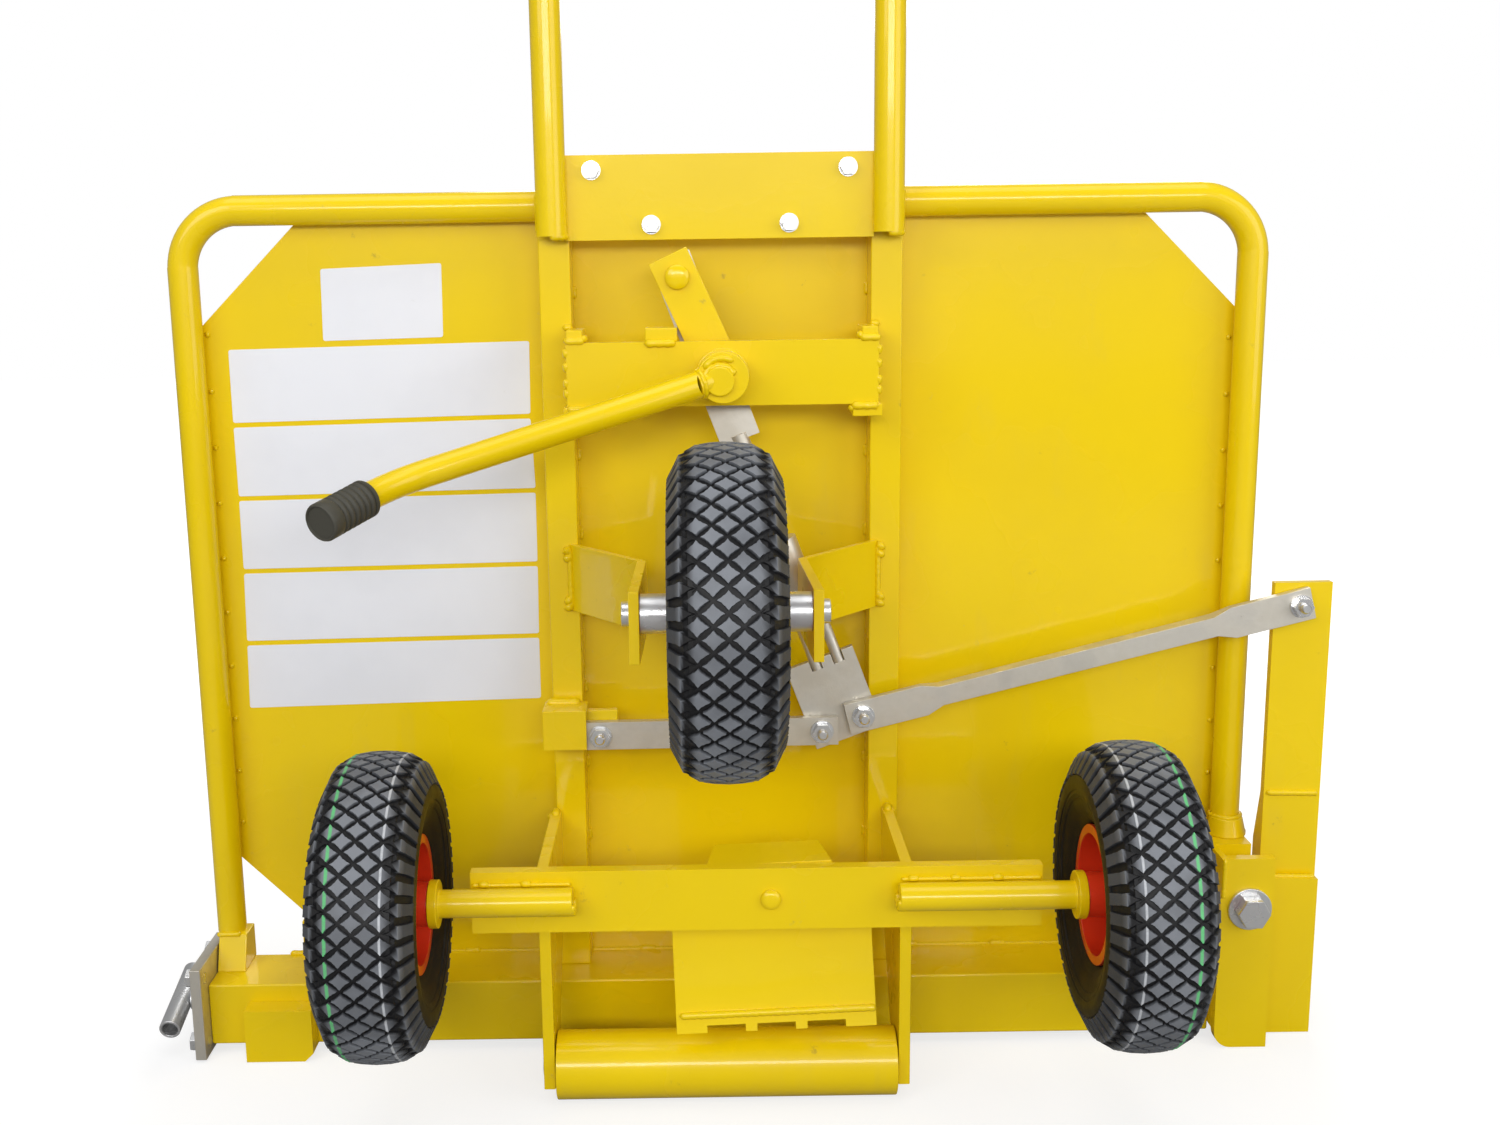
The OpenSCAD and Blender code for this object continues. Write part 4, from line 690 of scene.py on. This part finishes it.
def sweep_bead(bm, path, side, r, closed):
    """A rippled bead along a path of places on the cart; side lies across the path throughout."""
    count = len(path)
    rings = []
    for i, place in enumerate(path):
        ahead = path[(i + 1) % count] if closed else path[min(i + 1, count - 1)]
        behind = path[i - 1] if closed else path[max(i - 1, 0)]
        up = (ahead - behind).normalized().cross(side)
        ripple = RIPPLE_LOW + RIPPLE_SWING * abs(math.sin(RIPPLE_STEP * i))
        swell = r * ripple * weld_dice.uniform(*RIPPLE_CHANCE)
        ring = []
        for k in range(BEAD_SIDES):
            angle = FULL_TURN * k / BEAD_SIDES
            rim = place + swell * (math.cos(angle) * side + math.sin(angle) * up)
            ring.append(bm.verts.new(spot(*rim)))
        rings.append(ring)
    for a, b in zip(rings, rings[1:] + rings[:1] if closed else rings[1:]):
        for k in range(BEAD_SIDES):
            bm.faces.new((a[k], a[k - 1], b[k - 1], b[k]))
    if not closed:
        for ring, end, inner in ((rings[0], path[0], path[1]), (rings[-1], path[-1], path[-2])):
            tip = bm.verts.new(spot(*(end + BEAD_TIP_SHARE * r * (end - inner).normalized())))
            for k in range(BEAD_SIDES):
                bm.faces.new((ring[k], ring[k - 1], tip))


def bead(bm, start, end, r):
    """A straight bead from one place on the cart to another; r is its radius in mm."""
    a, b = Vector(start), Vector(end)
    steps = max(2, int((b - a).length / (BEAD_PITCH_SHARE * r)))
    path = [a.lerp(b, i / steps) for i in range(steps + 1)]
    sweep_bead(bm, path, (b - a).orthogonal().normalized(), r, False)


def beads(bm, seams, side=1):
    """Straight beads of a table of (start, end, radius), or with side -1 their mirror image."""
    for start, end, r in seams:
        bead(bm, (side * start[0], *start[1:]), (side * end[0], *end[1:]), r)


def ring_bead(bm, centre, direction, ring_r, r, start=0.0, sweep=FULL_SWEEP):
    """A bead round a circle, or round part of it."""
    turn_to = Vector(direction).to_track_quat("Z", "Y").to_matrix()
    steps = max(LEAST_RING_STEPS, int(math.radians(sweep) * ring_r / (BEAD_PITCH_SHARE * r)))
    path = []
    for i in range(steps):
        angle = math.radians(start + sweep * i / steps)
        arm = Vector((ring_r * math.cos(angle), ring_r * math.sin(angle), 0))
        path.append(Vector(centre) + turn_to @ arm)
    sweep_bead(bm, path, Vector(direction).normalized(), r, sweep == FULL_SWEEP)


def add_welds(bm, name, body):
    clean(bm)
    add_piece(bm, name, yellow_paint, body, sharp_angle=WELD_SHARP_ANGLE)


ACROSS, TOWARDS_FRONT, UP = (1, 0, 0), (0, -1, 0), (0, 0, 1)
TOWARDS_SHEET = (0, 1, 0)
SHEET_Y = 204.0

# Stitches that hold the sheet to the tubes and the rails
TUBE_STITCH = {-1: (-468.5, range(204, 680, 52)), 1: (464.5, range(240, 680, 52))}
TUBE_STITCH_LEN, TUBE_STITCH_R, TUBE_STITCH_Y = 3, 2.3, SHEET_Y - 0.5
RAIL_STITCH_X = (132.8, 162.0)
RAIL_STITCH_Z = range(110, 740, 74)
RAIL_STITCH_LEN, RAIL_STITCH_R, RAIL_STITCH_Y = 9, 2.4, SHEET_Y - 0.8

# Seams that both sides have, given for the right one: start, end and radius
HANDLE_FOOT_RING = {"direction": UP, "ring_r": 11.5, "r": 3.2, "start": 90, "sweep": 180}
HANDLE_FOOT_PLACE = (158.0, 755.5)
TIE_PLATE_SEAMS = (
    ((134.4, 169.0, 760), (134.4, 169.0, 792), 2.6),
    ((160.4, 169.0, 760), (160.4, 169.0, 792), 2.6),
)
LEVER_TAB_SEAMS = (
    ((121, 125.2, 666.5), (136, 125.2, 666.5), 3.2),
    ((114, 125.2, 607.5), (134, 125.2, 607.5), 3.6),
    ((120.4, 126, 668.5), (120.4, 134, 668.5), 3.4),
    ((112.8, 126, 605.5), (112.8, 134, 605.5), 3.4),
    *(((134, 169.2, z), (140, 169.2, z), 3.0) for z in (676.5, 597.5, 665.0, 609.0)),
    *(((136.2, 127.5, z), (136.2, 127.5, z + 6), 3.0) for z in (618, 627, 641, 653)),
)
WHEEL_BRACKET_SEAMS = (
    ((141.0, 168.2, 422), (141.0, 168.2, 474), 2.8),
    *(((141.5, 168.2, z), (144.5, 168.2, z + 3), 4.4) for z in (420, 426, 466, 473)),
    ((132.4, 169.0, 421), (132.4, 169.0, 477), 3.6),
)

# Side plates on rails and beam: the plate's middle, then distances outwards from it
SIDE_PLATE_X = {-1: 161.4, 1: 151.4}
SIDE_PLATE_SEAMS = (
    ((0, 168.8, 224.5), (0, 158.0, 224.5), 4.0),
    ((5.6, 169.4, 152), (5.6, 169.4, 220), 3.0),
    ((-5.6, 24.8, 176), (-5.6, 24.8, 222), 3.2),
)

# Axle stubs along the beam: tacks over a thin run, and the stubs' inner ends
STUB_RUNS = ((-220, -137), (146, 264))
STUB_SEAM_Y, STUB_SEAM_Z, STUB_SEAM_R = 10.8, (214.6, 191.4), 1.8
TACK_Y, TACK_Z, TACK_LEN, TACK_R = 10.4, 215.4, 7, 2.9
TACK_FIRST, TACK_LAST, TACK_PITCH = 6, 8, 36
STUB_ENDS = ((-133.6, 0, 203), (142.1, 0, 203))
STUB_END_RING = {"direction": ACROSS, "ring_r": 9.5, "r": 2.4, "start": 180, "sweep": 180}

LINK_BRACKET_SEAMS = (
    ((-165, 165.5, 331.0), (-137, 165.5, 331.0), 4.6),
    ((-160, 169.0, 293.2), (-135, 169.0, 293.2), 2.8),
)

# Sheet on the bottom beam: a run of filler with heavier dots
SHEET_FOOT_SEAMS = (
    ((-372, 203.0, 68.3), (372, 203.0, 68.3), 2.0),
    *(((x, 203.0, 68.8), (x + 14, 203.0, 68.8), 3.0) for x in range(-430, 440, 86)),
)
COLLAR_RINGS = (
    {"centre": (478.6, 189, 204.6), "direction": UP, "ring_r": 13.8, "r": 2.2},
    {"centre": (478.6, 185, 188.0), "direction": UP, "ring_r": 17.6, "r": 2.6, "start": 180, "sweep": 180},
)
TUBE_FOOT_SEAMS = (
    ((-493, 177, 101), (-472, 177, 101), 2.4),
    ((456, 114.6, 186), (456, 114.6, 150), 2.2),
)
CRANK_STOP_SEAMS = (((-66, 125.0, 663.8), (-42, 125.0, 663.8), 3.6),)

frame_welds = bmesh.new()
for side in (-1, 1):
    stitch_x, stitch_places = TUBE_STITCH[side]
    for z in stitch_places:
        bead(frame_welds, (stitch_x, TUBE_STITCH_Y, z), (stitch_x, TUBE_STITCH_Y, z + TUBE_STITCH_LEN),
             TUBE_STITCH_R)
    for z in RAIL_STITCH_Z:
        for x in RAIL_STITCH_X:
            bead(frame_welds, (side * x, RAIL_STITCH_Y, z), (side * x, RAIL_STITCH_Y, z + RAIL_STITCH_LEN),
                 RAIL_STITCH_R)
    ring_bead(frame_welds, (side * HANDLE_X, *HANDLE_FOOT_PLACE), **HANDLE_FOOT_RING)
    beads(frame_welds, TIE_PLATE_SEAMS + LEVER_TAB_SEAMS + WHEEL_BRACKET_SEAMS, side)
    for start, end, bead_r in SIDE_PLATE_SEAMS:
        x = side * (SIDE_PLATE_X[side] + start[0])
        bead(frame_welds, (x, *start[1:]), (x, *end[1:]), bead_r)
for x0, x1 in STUB_RUNS:
    for z in STUB_SEAM_Z:
        bead(frame_welds, (x0, STUB_SEAM_Y, z), (x1, STUB_SEAM_Y, z), STUB_SEAM_R)
    for x in range(x0 + TACK_FIRST, x1 - TACK_LAST, TACK_PITCH):
        bead(frame_welds, (x, TACK_Y, TACK_Z), (x + TACK_LEN, TACK_Y, TACK_Z), TACK_R)
for stub_end in STUB_ENDS:
    ring_bead(frame_welds, stub_end, **STUB_END_RING)
beads(frame_welds, LINK_BRACKET_SEAMS + SHEET_FOOT_SEAMS)
for collar_ring in COLLAR_RINGS:
    ring_bead(frame_welds, **collar_ring)
beads(frame_welds, TUBE_FOOT_SEAMS + CRANK_STOP_SEAMS)
add_welds(frame_welds, "frame_welds", "frame")

ARM_SEAMS = (
    ((505, 151.8, 238.0), (550, 151.8, 237.0), 2.8),
    ((505, 147.0, 157.0), (550, 147.0, 156.0), 2.8),
    ((507, 173.6, 101), (550, 173.6, 101), 2.6),
)
arm_welds = bmesh.new()
beads(arm_welds, ARM_SEAMS)
add_welds(arm_welds, "arm_welds", "clamp_arm")

# Lever's foot: the tube's end runs on into the shaft's head, with lumps of weld round it
FITTING_ROUND = 32
TUBE_WAY = Vector((-262, -105, -72)).normalized()
TUBE_FOOT = Vector((0, 99.5, 636))
TUBE_END = ((0, 0), (8.0, 0.5), (10.6, 2.4), (11.5, 5.0), (11.5, 22.0), (0, 22.0))
TUBE_END_OUT, TUBE_RING_OUT = 3.0, 21.5
TUBE_RING = {"ring_r": 11.2, "r": 2.2}
SHAFT_RINGS = (
    {"centre": (0, 124.0, 636), "ring_r": 21.8, "r": 1.6},
    {"centre": (0, 140.6, 636), "ring_r": 16.2, "r": 2.2},
    {"centre": (-3, 88.2, 633), "ring_r": 13.4, "r": 3.4, "start": 10, "sweep": 150},
    {"centre": (-1, 88.4, 635), "ring_r": 17.6, "r": 3.0, "start": 35, "sweep": 90},
)
lever_welds = bmesh.new()
add_turned(lever_welds, TUBE_END, spot(*(TUBE_FOOT + TUBE_END_OUT * TUBE_WAY)), TUBE_WAY, FITTING_ROUND)
ring_bead(lever_welds, TUBE_FOOT + TUBE_RING_OUT * TUBE_WAY, TUBE_WAY, **TUBE_RING)
for shaft_ring in SHAFT_RINGS:
    ring_bead(lever_welds, direction=TOWARDS_SHEET, **shaft_ring)
add_welds(lever_welds, "lever_welds", "lever")

PEDAL_SEAMS = (((-44, 7.6, 93.4), (123, 7.6, 99.2), 3.2),)
pedal_welds = bmesh.new()
beads(pedal_welds, PEDAL_SEAMS)
add_welds(pedal_welds, "pedal_welds", "pedal")

# Small fittings on the bolts and pins

THREAD_PITCH = 1.5
THREAD_ROOT, THREAD_POINT = 0.88, 0.7
THREAD_TIP = 0.8
BOLT_END_R, BOLT_END_LEN = 4.8, 5.0
BOLT_ENDS = (
    ("frame", ((-116, 134.2, 305),)),
    ("toggle", ((88, 134.2, 306.5),)),
    ("right_link", ((126, 134.5, 320.5), (523, 134.5, 418))),
)
DOME_SHARES = ((0, 0), (1, 0), (0.98, 0.3), (0.86, 0.62), (0.6, 0.88), (0.3, 0.98), (0, 1))
CRANK_HEAD_R, CRANK_HEAD_H, CRANK_HEAD_PLACE = 10.4, 3.4, (-38.28, 136, 719.99)
SHAFT_HEAD = ((0, 0), (12.5, 0), (12.5, 3.2), (11.6, 4.0), (0, 4.0))
SHAFT_HEAD_PLACE = (-3, 88, 633)
PEDAL_HEAD_R, PEDAL_HEAD_H, PEDAL_HEAD_PLACE = 8.3, 2.8, (34.2, 9, 198)


def dome(r, h):
    """Profile of a low round head."""
    return [(across * r, up * h) for across, up in DOME_SHARES]


def thread_end(r, h):
    """Profile of a bolt's end with its thread."""
    profile = [(0, 0)]
    for i in range(int(h / THREAD_PITCH)):
        profile += [(THREAD_ROOT * r, THREAD_PITCH * i), (r, THREAD_PITCH * i + THREAD_PITCH / 2)]
    return profile + [(THREAD_ROOT * r, h), (THREAD_POINT * r, h + THREAD_TIP), (0, h + THREAD_TIP)]


def put_fitting(bm, profile, place):
    """Adds a turned fitting at a place on the cart, pointing away from the sheet."""
    add_turned(bm, profile, spot(*place), TOWARDS_FRONT, FITTING_ROUND)


for body, places in BOLT_ENDS:
    bolt_ends = bmesh.new()
    for place in places:
        put_fitting(bolt_ends, thread_end(BOLT_END_R, BOLT_END_LEN), place)
    add_piece(bolt_ends, body + "_bolt_ends", bright_zinc, body)
lever_heads = bmesh.new()
put_fitting(lever_heads, dome(CRANK_HEAD_R, CRANK_HEAD_H), CRANK_HEAD_PLACE)
put_fitting(lever_heads, SHAFT_HEAD, SHAFT_HEAD_PLACE)
add_piece(lever_heads, "lever_pin_heads", yellow_paint, "lever")
pedal_head = bmesh.new()
put_fitting(pedal_head, dome(PEDAL_HEAD_R, PEDAL_HEAD_H), PEDAL_HEAD_PLACE)
add_piece(pedal_head, "pedal_pin_head", yellow_paint, "frame")

# Plain label panels: corners in X and Z

LABEL_PANELS = (
    ((-362.3, 730.8), (-252.5, 734.6), (-253.7, 668.2), (-363.4, 666.2)),
    ((-450.8, 659.3), (-175.3, 663.4), (-176.4, 597.0), (-450.9, 592.5)),
    ((-450.9, 588.0), (-176.5, 592.5), (-174.0, 527.9), (-450.5, 524.0)),
    ((-450.6, 519.5), (-174.2, 523.4), (-174.6, 458.3), (-450.8, 455.0)),
    ((-450.9, 450.5), (-174.6, 453.7), (-175.6, 389.0), (-452.4, 385.6)),
    ((-452.5, 381.0), (-175.6, 384.5), (-175.8, 325.5), (-454.1, 319.9)),
)
LABEL_LIFT, LABEL_THICK = 0.35, 0.30
LABEL_CORNER, LABEL_CORNER_STEPS = 2.0, 4


def make_labels():
    bm = bmesh.new()
    for corners in LABEL_PANELS:
        part = bmesh.new()
        part.faces.new([part.verts.new(spot(x, SHEET_Y - LABEL_LIFT, z)) for x, z in corners])
        bmesh.ops.bevel(part, geom=list(part.verts), affect="VERTICES", offset=LABEL_CORNER * MM,
                        segments=LABEL_CORNER_STEPS, profile=0.5, material=-1)
        grown = bmesh.ops.extrude_face_region(part, geom=list(part.faces))
        moved = [v for v in grown["geom"] if isinstance(v, bmesh.types.BMVert)]
        bmesh.ops.translate(part, verts=moved, vec=(0, LABEL_THICK * MM, 0))
        clean(part)
        join(bm, part)
    add_piece(bm, "label_panels", label_film, "frame")


make_labels()

# Stage, light and camera

FLOOR_HALF, FLOOR_CELLS, FLOOR_SINK = 9.0, 8, 0.0005
FLOOR_COLOUR = (0.32, 0.32, 0.32)
FLOOR_GLOW = 0.72
GLOW_RANGE = (0.5, 1.9)
WORLD_LIGHT = 0.30


def seen_directly(tree):
    """1 where the camera sees a surface, straight or through glass, and 0 where it only lights others."""
    path = tree.nodes.new("ShaderNodeLightPath")
    return maths(tree, "MAXIMUM", path.outputs["Is Camera Ray"], path.outputs["Is Transmission Ray"])


def stage_material(name, colour, glow):
    """A pale matt surface, lifted towards white, more so far out, with its shadows kept near the cart."""
    material = bpy.data.materials.new(name)
    material.use_nodes = True
    tree = material.node_tree
    tree.nodes.clear()
    matt = tree.nodes.new("ShaderNodeBsdfDiffuse")
    feed(tree, matt.inputs["Color"], colour)
    light = tree.nodes.new("ShaderNodeEmission")
    place = tree.nodes.new("ShaderNodeVectorMath")
    place.operation = "LENGTH"
    tree.links.new(tree.nodes.new("ShaderNodeTexCoord").outputs["Object"], place.inputs[0])
    lifted = ramp(tree, place.outputs["Value"], *GLOW_RANGE, glow, 1.0)
    tree.links.new(part_of(tree, seen_directly(tree), lifted), light.inputs["Strength"])
    both = tree.nodes.new("ShaderNodeAddShader")
    out = tree.nodes.new("ShaderNodeOutputMaterial")
    tree.links.new(matt.outputs[0], both.inputs[0])
    tree.links.new(light.outputs[0], both.inputs[1])
    tree.links.new(both.outputs[0], out.inputs["Surface"])
    return material


floor_bm = bmesh.new()
bmesh.ops.create_grid(floor_bm, x_segments=FLOOR_CELLS, y_segments=FLOOR_CELLS, size=FLOOR_HALF)
bmesh.ops.translate(floor_bm, verts=floor_bm.verts, vec=(0, 0, -FLOOR_SINK))
floor_mesh = bpy.data.meshes.new("studio_floor")
floor_bm.to_mesh(floor_mesh)
floor_bm.free()
floor = bpy.data.objects.new("studio_floor", floor_mesh)
bpy.context.scene.collection.objects.link(floor)
floor_mesh.materials.append(stage_material("pale_floor", FLOOR_COLOUR, FLOOR_GLOW))

world = bpy.data.worlds.new("white_room")
bpy.context.scene.world = world
world.use_nodes = True
background = world.node_tree.nodes["Background"]
background.inputs["Color"].default_value = (1, 1, 1, 1)
room_light = ramp(world.node_tree, seen_directly(world.node_tree), 0.0, 1.0, WORLD_LIGHT, 1.0)
world.node_tree.links.new(room_light, background.inputs["Strength"])

# Name, place, target and size in metres, and power in watts
LAMPS = (
    ("front_box", (0.1, -3.0, 1.35), (0, 0, 0.1), (2.6, 0.5), 45),
    ("key_left", (-2.1, -2.5, 2.1), (0, 0, 0.4), (1.6, 1.6), 31),
    ("fill_right", (2.3, -1.6, 1.2), (0, 0, 0.3), (1.8, 1.8), 26),
    ("overhead", (0.0, -0.3, 3.0), (0, 0, 0.4), (2.8, 1.6), 25),
    ("rear_fill", (0.4, 2.6, 2.0), (0, 0, 0.5), (2.0, 1.6), 42),
)


def soft_lamp(name, place, target, size, power):
    lamp = bpy.data.lights.new(name, "AREA")
    lamp.shape = "RECTANGLE"
    lamp.size, lamp.size_y = size
    lamp.energy = power
    obj = bpy.data.objects.new(name, lamp)
    bpy.context.scene.collection.objects.link(obj)
    obj.location = place
    obj.rotation_euler = (Vector(target) - Vector(place)).to_track_quat("-Z", "Y").to_euler()


for lamp_values in LAMPS:
    soft_lamp(*lamp_values)

PHOTO_W, PHOTO_H = 1500.0, 1125.0
FOCAL_PX = 1613.0
VIEW_MID = (699.3, 574.5)
SENSOR_MM = 36.0
CAMERA_PLACE = (-22.85, -1285.0, 740.4)
CAMERA_PITCH, CAMERA_ROLL = math.radians(11.285), math.radians(-0.853)
CLIP_END = 60
camera_data = bpy.data.cameras.new("photo_camera")
camera_data.sensor_width = SENSOR_MM
camera_data.lens = FOCAL_PX / PHOTO_W * SENSOR_MM
camera_data.shift_x = (PHOTO_W / 2 - VIEW_MID[0]) / PHOTO_W
camera_data.shift_y = (VIEW_MID[1] - PHOTO_H / 2) / PHOTO_W
camera_data.clip_end = CLIP_END
camera = bpy.data.objects.new("photo_camera", camera_data)
bpy.context.scene.collection.objects.link(camera)
ahead = Vector((0, math.cos(CAMERA_PITCH), -math.sin(CAMERA_PITCH)))
level_up = Vector((0, math.sin(CAMERA_PITCH), math.cos(CAMERA_PITCH)))
level_right = Vector((1, 0, 0))
cam_right = math.cos(CAMERA_ROLL) * level_right + math.sin(CAMERA_ROLL) * level_up
cam_up = -math.sin(CAMERA_ROLL) * level_right + math.cos(CAMERA_ROLL) * level_up
turn = Matrix((cam_right, cam_up, -ahead)).transposed().to_4x4()
camera.matrix_world = Matrix.Translation(spot(*CAMERA_PLACE)) @ turn
bpy.context.scene.camera = camera
bpy.context.scene.view_settings.view_transform = "Standard"
